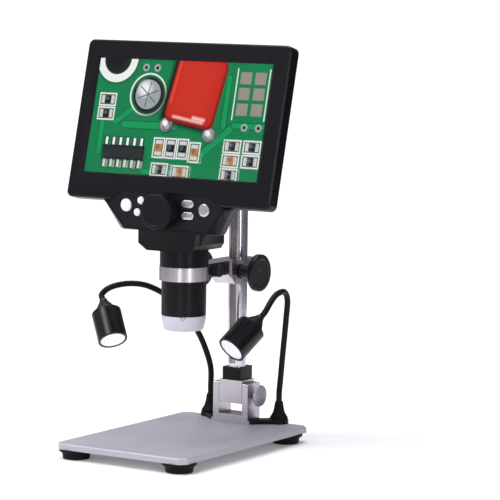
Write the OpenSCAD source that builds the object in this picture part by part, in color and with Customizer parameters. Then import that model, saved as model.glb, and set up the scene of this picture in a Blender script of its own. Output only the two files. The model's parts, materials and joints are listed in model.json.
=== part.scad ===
// LCD digital microscope on a rack-and-post stand with two gooseneck lamps.
// Millimetres, +Z up. The origin is where the optical axis meets the top of the base plate;
// the screen faces -Y and the post stands at +Y.

/* [Base plate] */
// Width of the base plate
base_w = 113; // [104:1:150]
// Depth of the base plate
base_d = 171; // [160:1:200]
// Distance from the post's axis back to the plate's rear edge
base_behind = 15; // [15:0.5:24]
// Thickness of the base plate
base_t = 4.5; // [3.5:0.1:8]
// Cut-off at each corner of the base plate
base_corner = 5; // [2:0.5:8]
// Bevel along the top edge of the base plate
base_bevel = 0.8; // [0.3:0.1:1.5]
// Depth of the seat in the plate that the bracket and the lamp bar stand in
stand_seat = 0.4; // [0.3:0.1:0.8]

/* [Feet] */
// Diameter of a rubber foot where it meets the plate
foot_top_d = 25.4; // [22:0.2:26]
// Diameter of a rubber foot where it meets the table
foot_bottom_d = 19.6; // [14:0.2:21]
// Height of a rubber foot
foot_h = 7.3; // [6:0.1:14]
// Distance from the plate's front and side edges to the middle of a foot
foot_inset = 11.5; // [10:0.5:18]
// Distance from the plate's back edge to the middle of a foot
foot_inset_back = 16; // [10:0.5:20]

/* [Tilt bracket] */
// Outside width of the U bracket
bracket_w = 31; // [29:0.5:36]
// Depth of the U bracket
bracket_d = 17.5; // [17:0.1:20]
// Height of the bracket's walls
bracket_h = 30.7; // [28:0.1:36]
// Thickness of the bracket's walls
bracket_wall = 5; // [3.5:0.1:5.5]
// Thickness of the bracket's floor
bracket_floor = 6.5; // [5.5:0.1:8]
// Height of the tilt axis above the plate
pivot_z = 21.5; // [20:0.1:24]
// Diameter of the tilt stud
stud_d = 4.4; // [4:0.1:6]
// Diameter of the tilt knob
tilt_knob_d = 16.2; // [14:0.1:22]
// Thickness of the tilt knob's disc
tilt_knob_t = 3.2; // [2.8:0.1:5]
// Length of the tilt knob's neck
tilt_neck_l = 3.4; // [2:0.1:5]

/* [Post] */
// Distance from the optical axis back to the post
post_y = 73.5; // [72:0.5:73.5]
// Diameter of the post
post_d = 14; // [13.5:0.1:14.2]
// Height of the top of the post above the plate
post_top = 222; // [216:1:260]
// Bore of the post
post_bore_d = 6.4; // [5:0.2:6.6]
// Height of the tilt block above the tilt axis
block_rise = 11.2; // [10.6:0.1:14]
// Height of the collar on the tilt block
collar_h = 9.8; // [8:0.1:12]
// Width of the collar
collar_w = 16; // [15.6:0.1:20]
// Depth of the collar
collar_d = 19; // [18:0.1:22]
// Width of the rack let into the post
rack_w = 5.4; // [4.4:0.1:5.8]
// Thickness of the rack with its teeth
rack_t = 2.4; // [2.2:0.1:2.5]

/* [Focus drive] */
// Height of the pinion above the plate in the stored pose
focus_z = 116.5; // [112:0.5:122]
// Teeth of the pinion
pinion_teeth = 20; // [18:1:20]
// Tooth module of rack and pinion
tooth_module = 0.5; // [0.45:0.01:0.5]
// Face width of the pinion
pinion_w = 5; // [3.5:0.1:5.2]
// Diameter of the focus shaft
shaft_d = 5; // [4:0.1:5.5]
// Diameter of a focus knob
focus_knob_d = 28; // [24:0.5:30]
// Thickness of a focus knob's disc
focus_knob_t = 4.6; // [3.5:0.1:6]
// Distance between the outer faces of the focus knobs
knob_span = 56; // [50:0.5:57]

/* [Carriage] */
// Height of the carriage on the post
carriage_h = 18.2; // [17:0.1:22]
// Width of the carriage
carriage_w = 18.4; // [18:0.1:20]
// Metal behind the post in the carriage
carriage_back = 4.5; // [3.5:0.1:6]
// Width of the arm that carries the ring
arm_w = 16; // [13:0.2:18]
// Height of the ring and its arm
ring_h = 10.2; // [9.6:0.1:13]
// Wall of the ring round the barrel
ring_wall = 1.7; // [1.5:0.05:2.5]
// Width of the slit in the ring's clamp
slit_w = 1.2; // [0.8:0.1:2]
// Diameter of the clamp screw's knob
clamp_knob_d = 9.5; // [8:0.1:11]

/* [Barrel] */
// Diameter of the lower barrel
barrel_d = 33; // [31:0.1:33.4]
// Length of the lower barrel below the ring's top face
barrel_l = 36.1; // [30:0.1:40]
// Diameter of the upper barrel
upper_d = 35.7; // [34.6:0.1:36.4]
// Height of the upper barrel
upper_h = 12.5; // [11:0.1:16]
// Height of the lens tip
tip_h = 11; // [9:0.1:13]
// Diameter of the lens tip at its lower end
tip_end_d = 29.4; // [27.4:0.1:30]
// Wall of the barrel tubes
barrel_wall = 2.2; // [1.6:0.1:2.4]

/* [Screen housing] */
// Width of the screen housing
screen_w = 177.4; // [172:0.1:190]
// Height of the screen housing, measured along the screen
screen_h = 119; // [114:0.1:126]
// Thickness of the screen housing at its edge
screen_t = 10.4; // [8:0.1:11]
// Radius of the screen housing's corners
screen_r = 4.5; // [3:0.1:7]
// Lean of the screen from upright
screen_lean = 14; // [11:0.5:16]
// Frame between the picture and the housing's left edge
bezel_left = 12.25; // [11:0.05:16]
// Frame between the picture and the housing's right edge
bezel_right = 14.55; // [11:0.05:16]
// Frame above the picture
bezel_top = 13.8; // [11:0.1:16]
// Frame below the picture
bezel_bottom = 19.6; // [17:0.1:22]
// Slope of the window's sides, across
window_slope_x = 2.5; // [1:0.1:3]
// Slope of the window's sides, upwards
window_slope_y = 1; // [0.5:0.1:2]
// Depth of the picture behind the front face
window_depth = 1.5; // [1:0.1:2]
// Depth of the rear shell's bulge behind the housing's edge
bulge_t = 10; // [9:0.5:11]
// Wall of the moulded shells
shell_wall = 2.2; // [1.8:0.1:2.4]

/* [Control panel] */
// Distance from the optical axis forward to the panel's face
panel_y = 26; // [25.4:0.1:26.6]
// Height of the focus wheel's axis above the ring's top face
wheel_rise = 42.4; // [41.5:0.1:43.4]
// Thickness of the panel plate
panel_t = 2.4; // [1.8:0.1:2.8]
// Diameter of the focus wheel
wheel_d = 26.6; // [22:0.1:28]
// How far the focus wheel stands proud of the panel
wheel_h = 12.4; // [9:0.1:14]
// Diameter of a large round button
button_d = 9.4; // [8:0.1:10]
// Diameter of a small round button
small_button_d = 5.6; // [4.6:0.1:6]
// Length of an oval button
oval_l = 10.4; // [9:0.1:11]
// Width of an oval button
oval_w = 5.5; // [4.6:0.1:6]
// How far a button stands proud of the panel
button_proud = 1.2; // [1:0.1:1.6]
// Travel of a button
button_travel = 0.8; // [0.5:0.1:0.9]

/* [Lamps] */
// Distance of each lamp boot from the middle
boot_x = 31; // [30:0.5:36]
// Distance of the lamp boots behind the post's axis
boot_back = 11.5; // [8:0.5:12]
// Thickness of the lamp base bar
bar_t = 3.2; // [2.6:0.1:3.6]
// Diameter of a boot where it stands on the bar
boot_d = 13.6; // [13:0.1:15]
// Height of a boot
boot_h = 13.6; // [12:0.1:16]
// Diameter of the gooseneck
neck_d = 4.6; // [3.8:0.1:4.8]
// Diameter of a lamp head
lamp_d = 22.5; // [20:0.5:24]
// Length of a lamp head without its neck
lamp_l = 25; // [22:0.5:28]
// Length of the conical neck of a lamp head
lamp_neck_l = 11; // [9:0.5:13]
// Diameter of the lamp head's conical neck at its root
lamp_root_d = 18; // [14:0.2:19]
// Diameter of the lamp's lens
lamp_lens_d = 18.6; // [16:0.1:19]

/* [Fits] */
// Radial play of a shaft in its bore
running = 0.05; // [0.02:0.01:0.08]
// Play between parts that are fixed together
seat = 0.05; // [0.02:0.01:0.08]
// Air between parts that move past each other
air = 0.3; // [0.25:0.05:0.4]
// Backlash of the gear teeth
backlash = 0.12; // [0.1:0.01:0.16]

/* [Hidden] */
$fn = 64;
eps = 0.01;

// colours
moulding = "#232326";
satin_black = "#1c1d20";
aluminium = "#c9c8ce";
plate_grey = "#bcbbc4";
steel = "#b8b8bc";
rubber_black = "#151517";
brass_gold = "#c8a24a";
board_green = "#1f6b3c";
pale = "#e9e9ea";
silvery = "#dcdce2";

// screws: radius and length of the shank, radius and height of the head
m4_r = 2;
m4_head = [3.5, 2.4];
m2_r = 1.1;
m2_head = [2, 1.4];

// stand
foot_x = base_w/2 - foot_inset;
base_end = post_y + base_behind;
base_ahead = base_d - base_end;
base_y = base_d/2 - base_ahead;
foot_places = [for (sx = [-1, 1], y = [-base_ahead + foot_inset, base_end - foot_inset_back]) [sx*foot_x, y]];
foot_recess = 3.6;
plate_thread = base_t - 1.2;
bracket_front = post_y - bracket_d/2;
bracket_screw_x = bracket_w/2 - bracket_wall - m4_head.x;
bracket_foot = 1.6;
bracket_foot_t = 2.6;
bar_d = bracket_d - 4;
boot_y = post_y + boot_back;
wing_r = boot_d/2 + 0.6;
ferrule_r = 2.8;
ferrule_flange = [3.6, 2.4];
boot_mouth_r = neck_d/2 + running;

// tilting mast
block_w = bracket_w - 2*bracket_wall - 2*air;
block_bottom = pivot_z - 6.4;
block_top = pivot_z + block_rise;
collar_top = block_top + collar_h;
post_r = post_d/2;
post_foot = pivot_z + stud_d/2 + 2;
rack_front = post_y - sqrt(pow(post_r, 2) - pow(rack_w/2, 2));
rack_bottom = collar_top + 3;
rack_top = post_top - 6;
slot_w = rack_w + 2*seat;
stud_r = stud_d/2;
tilt_knob_x = bracket_w/2 + air;
tilt_hub_r = stud_r + 0.5;
tilt_stud_in = 1.6;

// focus drive
pitch_r = tooth_module*pinion_teeth/2;
mesh_ease = 0.03;
pinion_y = rack_front + tooth_module - pitch_r - mesh_ease;
chamber_r = pitch_r + tooth_module + 0.15;
bush_r = chamber_r - seat;
bush_x = sqrt(pow(post_r, 2) - pow(post_y - pinion_y - bush_r - air, 2));
shaft_r = shaft_d/2;
hub_r = shaft_r + 2;
hub_x = carriage_w/2 + air;
knob_x = knob_span/2 - focus_knob_t;

// carriage and ring
post_bore = post_r + running;
carriage_top = focus_z + carriage_h/2;
carriage_bottom = focus_z - carriage_h/2;
carriage_end = post_y + post_r + carriage_back;
arm_bottom = carriage_top - ring_h;
web_y = pinion_y - chamber_r - 9;
ring_bore = barrel_d/2 + running;
ring_r = barrel_d/2 + ring_wall;
slit_end = ring_r + 16;
clamp_y = ring_r + 8.6;
clamp_z = carriage_top - ring_h/2;
tension_z = carriage_h/2 - 4;

// head: everything above and below the ring's top face
head_z = carriage_top;
barrel_r = barrel_d/2;
barrel_end = head_z - barrel_l;
tip_end = barrel_end - tip_h;
tip_wall = 1.4;
notch_turn = 32;
notch_depth = 1.4;
notch_half = 2.6;
notch_h = 3.2;
spigot_h = 8;
neck_z = head_z + upper_h;
spigot_r = 12.5;
neck_bore = spigot_r + seat;
neck_half = 24.8;
neck_front = -23.7;
neck_back = 25.4;
neck_floor = 2.5;
neck_cut = [7.5, 5];
neck_back_cut = 10;
neck_top = neck_z + 30;
wheel_z = head_z + wheel_rise;

// screen housing, in its own leaning frame: z out of the front face, y up the screen
screen_reach = 12.7;
screen_z = head_z + 109;
screen_x = (bezel_right - bezel_left)/2;
screen_y = (bezel_top - bezel_bottom)/2;
lcd_w = screen_w - bezel_left - bezel_right;
lcd_h = screen_h - bezel_top - bezel_bottom;
edge_bevel = 1.2;
seam = 6;
glass_t = 1;
glass_margin = 2;
lcd_t = 3.4;
lcd_frame = [3, 4];
bulge_w = screen_w - 17;
bulge_h = screen_h - 17;
bulge_slope = 9;
screw_inset = 5;
screw_boss_r = 2.9;
board_n = 9.6;
board_t = 1.6;
board_size = [112, 62];

// control panel
panel_top = screen_z - (panel_y - screen_reach)/tan(screen_lean);
panel_bottom = neck_z + 15;
panel_mid = (panel_top + panel_bottom)/2 + 3.8;
side_y = panel_y - 6.5;
split_y = 14.5;
hexagon = [[-39, panel_top], [-52, panel_mid], [-36, panel_bottom],
    [36, panel_bottom], [52, panel_mid], [39, panel_top]];
skirt_corner = [54.8, panel_top - 7];
skirt_low = [45, panel_bottom + 2];
flare_h = 4.8;
flare_low = skirt_corner + (skirt_low - skirt_corner)*flare_h/(skirt_corner.y - skirt_low.y);
skirt_core_half = [skirt_corner, skirt_low, [43.5, panel_bottom - 0.3], [41, panel_bottom - 1.4]];
function both_sides(half) = concat([for (p = half) [-p.x, p.y]],
    [for (i = [len(half) - 1:-1:0]) half[i]]);
skirt_core = both_sides(skirt_core_half);
// the skirt's upper corners run out to the slab; their inner edge lies inside the core
flare = [skirt_corner - [4, 0], flare_low - [3, 0], flare_low - [0.1, 0],
    skirt_corner + [0.4, -1.8], skirt_corner + [6, 0]];
panel_rim = 1.7;
ledge = 1.5;
flange_t = 0.8;
flange = 0.9;
stem_l = 1;
switch_h = 0.6;
button_gap = 0.1;
switch_y = panel_y - panel_t - seat - flange_t - stem_l - button_travel - seat;
button_board_y = switch_y - switch_h;
round_x = 34;
round_z = wheel_z + 2.3;
small_places = [[-21, wheel_z + 6.4], [-24.2, wheel_z - 2.4]];
oval_places = [[20, wheel_z + 6.1], [20, wheel_z - 2.5]];
peg_places = [[-30, wheel_z - 7.5], [-12, wheel_z - 7.5], [12, wheel_z - 7.5], [30, wheel_z - 7.5]];

// inner focusing
wheel_shaft_r = 2;
lens_module = 0.4;
lens_teeth = 18;
lens_pitch_r = lens_module*lens_teeth/2;
lens_travel = 6;
carrier_r = 8.5;
carrier_wall = 1.5;
carrier_end = tip_end + lens_travel + 0.1;
carrier_top = wheel_z - 11;
lens_bridge = neck_z + spigot_h + lens_travel + air;
lens_rack_y = -12.2;
lens_rack_w = 2.8;
lens_rack_t = 2.2;
lens_rack_reach = 9;
lens_rack_x = lens_pitch_r - lens_module + mesh_ease;
lens_rack_end = lens_rack_x + lens_rack_t + 2;
guide_r = barrel_r - barrel_wall - running;
guide_h = 4;
socket_h = 8;
sensor_z = wheel_z + 4;
sensor_board_half = neck_half - shell_wall - 0.5;

// lamps: middle of the lens, lean from upright and heading of the lamp's back
left_lamp = [[-70.5, 10, 63], 39, 145];
right_lamp = [[35.4, 10, 65.1], 52, 73];
lamp_r = lamp_d/2;
lamp_lens_r = lamp_lens_d/2;
lamp_total = lamp_l + lamp_neck_l;
lamp_rim = 1.2;
neck_r = neck_d/2;

// goosenecks: the middle line from the boot up and over to the lamp
function lamp_back_dir(l) = [sin(l[1])*cos(l[2]), sin(l[1])*sin(l[2]), cos(l[1])];
function lamp_point(l, d) = l[0] + d*lamp_back_dir(l);
left_bends = [[-31, 84.7, 36.5], [-33.5, 81.9, 50], [-38.1, 77, 65], [-45.2, 69.5, 80.5],
    [-54, 60, 92.5], [-65.6, 47.8, 101.3], [-76, 36.8, 103.2], [-85.5, 27.5, 100.5]];
right_bends = [[32, 85, 34], [34, 84, 50], [36.2, 83, 66.4], [38.3, 82, 83],
    [40, 80.4, 95.5], [41.3, 73.2, 102.3], [42.9, 60, 101.6], [44.4, 49.5, 97]];
function route(side, l, bends) = concat(
    [for (z = [bar_t + 2, bar_t + 10, bar_t + 20]) [side*boot_x, boot_y, z]],
    bends,
    [for (d = [5, 0, -4, -8]) lamp_point(l, lamp_total + d)]);
left_route = route(-1, left_lamp, left_bends);
right_route = route(1, right_lamp, right_bends);

// ---- shapes that repeat ----

function spline(a, b, c, d, t) = 0.5*((2*b) + (c - a)*t + (2*a - 5*b + 4*c - d)*pow(t, 2)
    + (3*b - a - 3*c + d)*pow(t, 3));
function smooth(p, steps) = concat([p[0]],
    [for (i = [1:len(p) - 3], k = [0:steps - 1]) spline(p[i - 1], p[i], p[i + 1], p[i + 2], k/steps)],
    [p[len(p) - 2], p[len(p) - 1]]);
function unit(v) = v/norm(v);

// a round tube along a line of points; side_ref is never along the line
module swept_tube(line, r, side_ref, sides = 10) {
    last = len(line) - 1;
    rings = [for (i = [0:last]) let (
        t = unit(line[min(i + 1, last)] - line[max(i - 1, 0)]),
        u = unit(cross(t, side_ref)),
        v = cross(t, u)) for (k = [0:sides - 1])
            line[i] + r*(cos(360*k/sides)*u + sin(360*k/sides)*v)];
    walls = [for (i = [0:last - 1], k = [0:sides - 1]) let (n = (k + 1)%sides)
        [i*sides + k, (i + 1)*sides + k, (i + 1)*sides + n, i*sides + n]];
    polyhedron(rings, concat(walls,
        [[for (k = [0:sides - 1]) k]],
        [[for (k = [sides - 1:-1:0]) last*sides + k]]), convexity = 6);
}

module rounded(w, h, r) {
    square([w - 2*r, h], center = true);
    square([w, h - 2*r], center = true);
    for (sx = [-1, 1], sy = [-1, 1]) translate([sx*(w/2 - r), sy*(h/2 - r)]) circle(r);
}

module slot2d(l, w) {
    if (l > w) {
        square([l - w, w], center = true);
        for (s = [-1, 1]) translate([s*(l - w)/2, 0]) circle(d = w);
    } else circle(d = w);
}

// socket-head screw: seat at z = 0, head above, shank below
module screw(r, l, head) {
    translate([0, 0, -l]) cylinder(r = r, h = l + eps);
    difference() {
        cylinder(r = head.x, h = head.y);
        translate([0, 0, head.y/2]) cylinder(r = head.x*0.55, h = head.y, $fn = 6);
    }
}

// grub screw: a headless pin with a socket in its upper end
module grub(r, l) {
    difference() {
        cylinder(r = r, h = l);
        translate([0, 0, l*0.55]) cylinder(r = r*0.55, h = l, $fn = 6);
    }
}

// round disc with fine ridges round its edge
module knurled(r, h, ridges, depth) {
    linear_extrude(h) polygon([for (i = [0:ridges*2 - 1])
        (i%2 == 0 ? r : r - depth)*[cos(180*i/ridges), sin(180*i/ridges)]]);
}

// along +X from a start
module along_x(x, y, z) { translate([x, y, z]) rotate([0, 90, 0]) children(); }

// z of the child points forward, its y stays up
module facing_front(x, y, z) { translate([x, y, z]) rotate([90, 0, 0]) children(); }

module on_screen() { translate([0, -screen_reach, screen_z]) rotate([90 - screen_lean, 0, 0]) children(); }

module at_lamp(l) { translate(l[0]) rotate([0, l[1], l[2]]) children(); }

// involute gear: half the tooth's angle at radius r, then the outline
function inv(r, base) = r <= base ? 0 : sqrt(pow(r/base, 2) - 1)*180/PI - acos(base/r);
module gear2d(m, teeth, play) {
    pitch = m*teeth/2;
    base = pitch*cos(20);
    root = pitch - 1.25*m;
    tip = pitch + m;
    half = 90/teeth - play/pitch*90/PI + inv(pitch, base);
    radii = [for (k = [0:5]) max(base, root) + (tip - max(base, root))*k/5];
    polygon([for (i = [0:teeth - 1]) let (a = 360*i/teeth) each concat(
        [root*[cos(a - half), sin(a - half)]],
        [for (r = radii) r*[cos(a - half + inv(r, base)), sin(a - half + inv(r, base))]],
        [for (k = [5:-1:0]) let (r = radii[k], b = a + half - inv(r, base)) r*[cos(b), sin(b)]],
        [root*[cos(a + half), sin(a + half)]])]);
}

// straight rack from y = low to high, teeth towards -x with their tips at x = 0,
// one gap centred on y = 0
module rack2d(m, low, high, thick, play) {
    pitch = PI*m;
    half = pitch/4 - play/4;
    first = ceil(low/pitch + 0.5);
    last = floor(high/pitch - 0.5) - 1;
    polygon(concat([[thick, low], [2.25*m, low]],
        [for (i = [first:last]) let (y = (i + 0.5)*pitch) each [
            [2.25*m, y - half - 1.25*m*tan(20)], [0, y - half + m*tan(20)],
            [0, y + half - m*tan(20)], [2.25*m, y + half + 1.25*m*tan(20)]]],
        [[2.25*m, high], [thick, high]]));
}

// ---- stand ----

module plate_outline(inset) {
    w = base_w/2 - inset;
    d = base_d/2 - inset;
    c = base_corner - inset*0.6;
    polygon([[-w + c, -d], [w - c, -d], [w, -d + c], [w, d - c],
        [w - c, d], [-w + c, d], [-w, d - c], [-w, -d + c]]);
}

// what stands on the plate: the bracket's foot and the lamp bar
module bar_outline(grow) {
    x = bracket_w/2 + bracket_foot + air;
    y = post_y + bar_d/2 + grow;
    w = wing_r + grow;
    polygon([[-x, bracket_front + 2 - grow], [x, bracket_front + 2 - grow], [boot_x, boot_y - w],
        [boot_x, boot_y + w], [x, y], [-x, y], [-boot_x, boot_y + w], [-boot_x, boot_y - w]]);
    for (s = [-1, 1]) translate([s*boot_x, boot_y]) circle(w);
}

module bracket_outline(grow) {
    translate([0, post_y]) square([bracket_w + 2*bracket_foot, bracket_d] + 2*[grow, grow], center = true);
}

module base_plate() {
    color(plate_grey) difference() {
        translate([0, base_y, 0]) {
            translate([0, 0, -base_t]) linear_extrude(base_t - base_bevel) plate_outline(0);
            hull() {
                translate([0, 0, -base_bevel - eps]) linear_extrude(eps) plate_outline(0);
                translate([0, 0, -eps]) linear_extrude(eps) plate_outline(base_bevel);
            }
        }
        for (p = foot_places) translate([p.x, p.y, -base_t - eps])
            cylinder(r = m4_r + seat, h = plate_thread);
        for (s = [-1, 1]) translate([s*bracket_screw_x, post_y, -base_t - eps]) {
            cylinder(r = m4_r + seat, h = base_t + 1);
            cylinder(r = m4_head.x + air, h = m4_head.y + air + eps);
        }
        translate([0, 0, -stand_seat]) linear_extrude(stand_seat + 1) {
            bar_outline(seat);
            bracket_outline(seat);
        }
    }
}

module rubber_feet() {
    color(rubber_black) for (p = foot_places) translate([p.x, p.y, -base_t]) rotate_extrude()
        polygon([[m4_r + seat, 0], [foot_top_d/2 - 0.3, 0], [foot_top_d/2, -0.3], [foot_top_d/2, -1.5],
            [foot_top_d/2 - 0.6, -2.1], [foot_bottom_d/2 + 1, -2.6],
            [foot_bottom_d/2 + 0.3, -foot_h*0.6], [foot_bottom_d/2, -foot_h + 0.8],
            [foot_bottom_d/2 - 0.8, -foot_h],
            [m4_head.x + 1.5, -foot_h], [m4_head.x + 1.5, -foot_h + foot_recess],
            [m4_r + seat, -foot_h + foot_recess]]);
}

module foot_screws() {
    l = foot_h - foot_recess + plate_thread - 0.6;
    color(steel) for (p = foot_places) translate([p.x, p.y, -base_t - foot_h + foot_recess])
        rotate([180, 0, 0]) screw(m4_r, l, m4_head);
}

module tilt_bracket() {
    inner = bracket_w - 2*bracket_wall;
    corner = 1.6;
    full_h = bracket_h + stand_seat;
    color(aluminium) difference() {
        union() {
            along_x(-bracket_w/2, post_y, bracket_h - full_h/2) linear_extrude(bracket_w) {
                rounded(full_h, bracket_d, corner);
                translate([full_h/4, 0]) square([full_h/2, bracket_d], center = true);
            }
            translate([0, 0, -stand_seat]) linear_extrude(stand_seat + bracket_foot_t) bracket_outline(0);
        }
        translate([-inner/2, bracket_front - 1, bracket_floor]) cube([inner, bracket_d + 2, bracket_h]);
        along_x(-bracket_w/2 - 1, post_y, pivot_z) cylinder(r = stud_r + running, h = bracket_w + 2);
        translate([-bracket_w, post_y - bar_d/2 - seat, -1])
            cube([2*bracket_w, bar_d + 2*seat, bar_t + 1]);
        for (s = [-1, 1]) translate([s*bracket_screw_x, post_y, -1])
            cylinder(r = m4_r + seat, h = bracket_floor + 2);
    }
}

module bracket_screws() {
    color(steel) for (s = [-1, 1]) translate([s*bracket_screw_x, post_y, -base_t + m4_head.y + air])
        rotate([180, 0, 0]) screw(m4_r, base_t - m4_head.y - air + bracket_floor - 0.8, m4_head);
}

module lamp_base() {
    color(satin_black) difference() {
        translate([0, 0, -stand_seat]) linear_extrude(stand_seat + bar_t) bar_outline(0);
        for (s = [-1, 1]) translate([s*bracket_screw_x, post_y, -1]) cylinder(r = m4_r + seat, h = bar_t + 2);
    }
}

module lamp_boot(side) {
    r = boot_d/2;
    color(rubber_black) translate([side*boot_x, boot_y, bar_t]) difference() {
        rotate_extrude() polygon([[0, 0], [r, 0], [r, 1.2], [r - 0.5, 2.2], [r - 1.6, boot_h*0.3],
            [r - 2.5, boot_h*0.42], [r - 3, boot_h*0.62], [r - 3.3, boot_h*0.75],
            [neck_r + 1.1, boot_h*0.94], [neck_r + 0.6, boot_h], [0, boot_h]]);
        translate([0, 0, -eps]) cylinder(r = ferrule_flange.x + running, h = ferrule_flange.y + air);
        translate([0, 0, -eps]) cylinder(r = ferrule_r + running, h = boot_h*0.6 + 0.2);
        translate([0, 0, -eps]) cylinder(r = boot_mouth_r + 0.1, h = boot_h + 1);
    }
}

module lamp_boots() {
    lamp_boot(-1);
    lamp_boot(1);
}

// ---- tilting mast ----

module tilt_block() {
    h = block_top - block_bottom;
    color(aluminium) difference() {
        translate([-block_w/2, bracket_front, block_bottom]) cube([block_w, bracket_d, h]);
        translate([0, post_y, post_foot]) cylinder(r = post_r + seat, h = h);
        along_x(-block_w/2 - 1, post_y, pivot_z) cylinder(r = stud_r + running, h = block_w + 2);
        translate([0, post_y, (post_foot + block_top)/2]) rotate([-90, 0, 0])
            cylinder(r = m4_r + seat, h = bracket_d);
    }
}

module post_collar() {
    color(satin_black) difference() {
        translate([0, post_y + 0.8, block_top]) linear_extrude(collar_h) rounded(collar_w, collar_d, 1.6);
        translate([0, post_y, block_top - 1]) cylinder(r = post_r + seat, h = collar_h + 2);
        translate([0, post_y, block_top + collar_h/2]) rotate([-90, 0, 0])
            cylinder(r = m4_r + seat, h = collar_d);
    }
}

module post() {
    color("#d4d3da") translate([0, post_y, 0]) difference() {
        translate([0, 0, post_foot]) cylinder(r = post_r, h = post_top - post_foot);
        translate([0, 0, post_foot - 1]) cylinder(d = post_bore_d, h = post_top);
        translate([-slot_w/2, -post_r - 1, rack_bottom - seat])
            cube([slot_w, rack_front + rack_t + seat - (post_y - post_r - 1), post_top]);
    }
}

module rack() {
    color("#9a8f8d") translate([rack_w/2, rack_front, focus_z]) rotate([0, -90, 0])
        linear_extrude(rack_w) rotate([0, 0, 90]) mirror([0, 1, 0])
            rack2d(tooth_module, rack_bottom - focus_z, rack_top - focus_z, rack_t, backlash);
}

module post_cap() {
    color(rubber_black) translate([0, post_y, post_top]) {
        rotate_extrude() polygon([[0, 0], [post_r + 0.4, 0], [post_r + 0.4, 1.6],
            [post_r - 0.6, 2.8], [0, 3.2]]);
        translate([0, 0, -5]) cylinder(d = post_bore_d - 2*seat, h = 5 + eps);
    }
}

module post_grub_screws() {
    color(steel) {
        translate([0, post_y + post_r + seat, (post_foot + block_top)/2]) rotate([-90, 0, 0])
            grub(m4_r, bracket_d/2 - post_r - 0.4);
        translate([0, post_y + post_r + seat, block_top + collar_h/2]) rotate([-90, 0, 0])
            grub(m4_r, collar_d/2 + 0.8 - post_r - 0.4);
    }
}

module tilt_knob() {
    r = tilt_knob_d/2;
    color(aluminium) along_x(tilt_knob_x, post_y, pivot_z) difference() {
        union() {
            cylinder(r = tilt_hub_r, h = tilt_neck_l + eps);
            translate([0, 0, tilt_neck_l]) knurled(r, tilt_knob_t - 0.8, 48, 0.4);
            translate([0, 0, tilt_neck_l + tilt_knob_t - 0.8 - eps])
                cylinder(r1 = r - 0.4, r2 = r - 1.4, h = 0.8);
        }
        translate([0, 0, -1]) cylinder(r = stud_r, h = 1 + tilt_neck_l + tilt_stud_in);
        translate([0, 0, tilt_neck_l + tilt_knob_t - 0.4]) cylinder(r = r - 3, h = 1);
    }
}

module tilt_stud() {
    color(steel) along_x(-bracket_w/2 + 0.6, post_y, pivot_z)
        cylinder(r = stud_r, h = bracket_w - 0.6 + air + tilt_neck_l + tilt_stud_in);
}

// ---- carriage ----

module carriage() {
    w = carriage_w/2;
    corner = 2.5;
    block_front = pinion_y - chamber_r - 6;
    color(aluminium) difference() {
        union() {
            intersection() {
                linear_extrude(carriage_top + 1) polygon([[-w, block_front], [w, block_front],
                    [w, carriage_end - corner], [w - corner, carriage_end],
                    [-w + corner, carriage_end], [-w, carriage_end - corner]]);
                along_x(-w - 1, 0, 0) rotate([0, 0, 90]) linear_extrude(2*w + 2)
                    polygon([[web_y, carriage_top], [web_y, arm_bottom],
                        [web_y + arm_bottom - carriage_bottom, carriage_bottom],
                        [carriage_end, carriage_bottom], [carriage_end, carriage_top]]);
            }
            translate([-arm_w/2, 0, arm_bottom]) cube([arm_w, block_front + 1, ring_h]);
            along_x(-arm_w/2, 0, 0) rotate([0, 0, 90]) linear_extrude(arm_w)
                polygon([[web_y, arm_bottom + 1], [web_y, arm_bottom],
                    [block_front + 1, arm_bottom - (block_front + 1 - web_y)],
                    [block_front + 1, arm_bottom + 1]]);
            translate([0, 0, arm_bottom]) cylinder(r = ring_r, h = ring_h);
        }
        translate([0, 0, arm_bottom - 1]) cylinder(r = ring_bore, h = ring_h + 2);
        translate([0, post_y, carriage_bottom - 1]) cylinder(r = post_bore, h = carriage_h + 2);
        translate([-slit_w/2, 0, arm_bottom - 1]) cube([slit_w, slit_end, ring_h + 2]);
        along_x(-arm_w, clamp_y, clamp_z) cylinder(r = m4_r + seat, h = 2*arm_w);
        along_x(-w - 1, pinion_y, focus_z) cylinder(r = chamber_r, h = carriage_w + 2);
        for (s = [-1, 1]) translate([0, post_y, focus_z + s*tension_z]) rotate([-90, 0, 0])
            cylinder(r = m4_r + seat, h = carriage_end);
    }
}

module shaft_bushes() {
    color(satin_black) for (s = [-1, 1]) difference() {
        union() {
            along_x(s > 0 ? bush_x : -carriage_w/2, pinion_y, focus_z)
                cylinder(r = bush_r, h = carriage_w/2 - bush_x);
            along_x(s > 0 ? pinion_w/2 + air : -bush_x - eps, pinion_y, focus_z)
                cylinder(r = shaft_r + 1.2, h = bush_x - pinion_w/2 - air + eps);
        }
        along_x(-carriage_w, pinion_y, focus_z) cylinder(r = shaft_r + running, h = 2*carriage_w);
    }
}

module tension_screws() {
    color(steel) for (s = [-1, 1]) translate([0, post_y + post_r + 2*running, focus_z + s*tension_z])
        rotate([-90, 0, 0]) grub(m4_r, carriage_back - 0.5);
}

module focus_shaft() {
    color(steel) along_x(-knob_span/2 + 2, pinion_y, focus_z) cylinder(r = shaft_r, h = knob_span - 4);
}

module pinion() {
    color(brass_gold) along_x(-pinion_w/2, pinion_y, focus_z) rotate([0, 0, 90]) difference() {
        linear_extrude(pinion_w) gear2d(tooth_module, pinion_teeth, backlash/2);
        translate([0, 0, -1]) cylinder(r = shaft_r, h = pinion_w + 2);
    }
}

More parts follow.
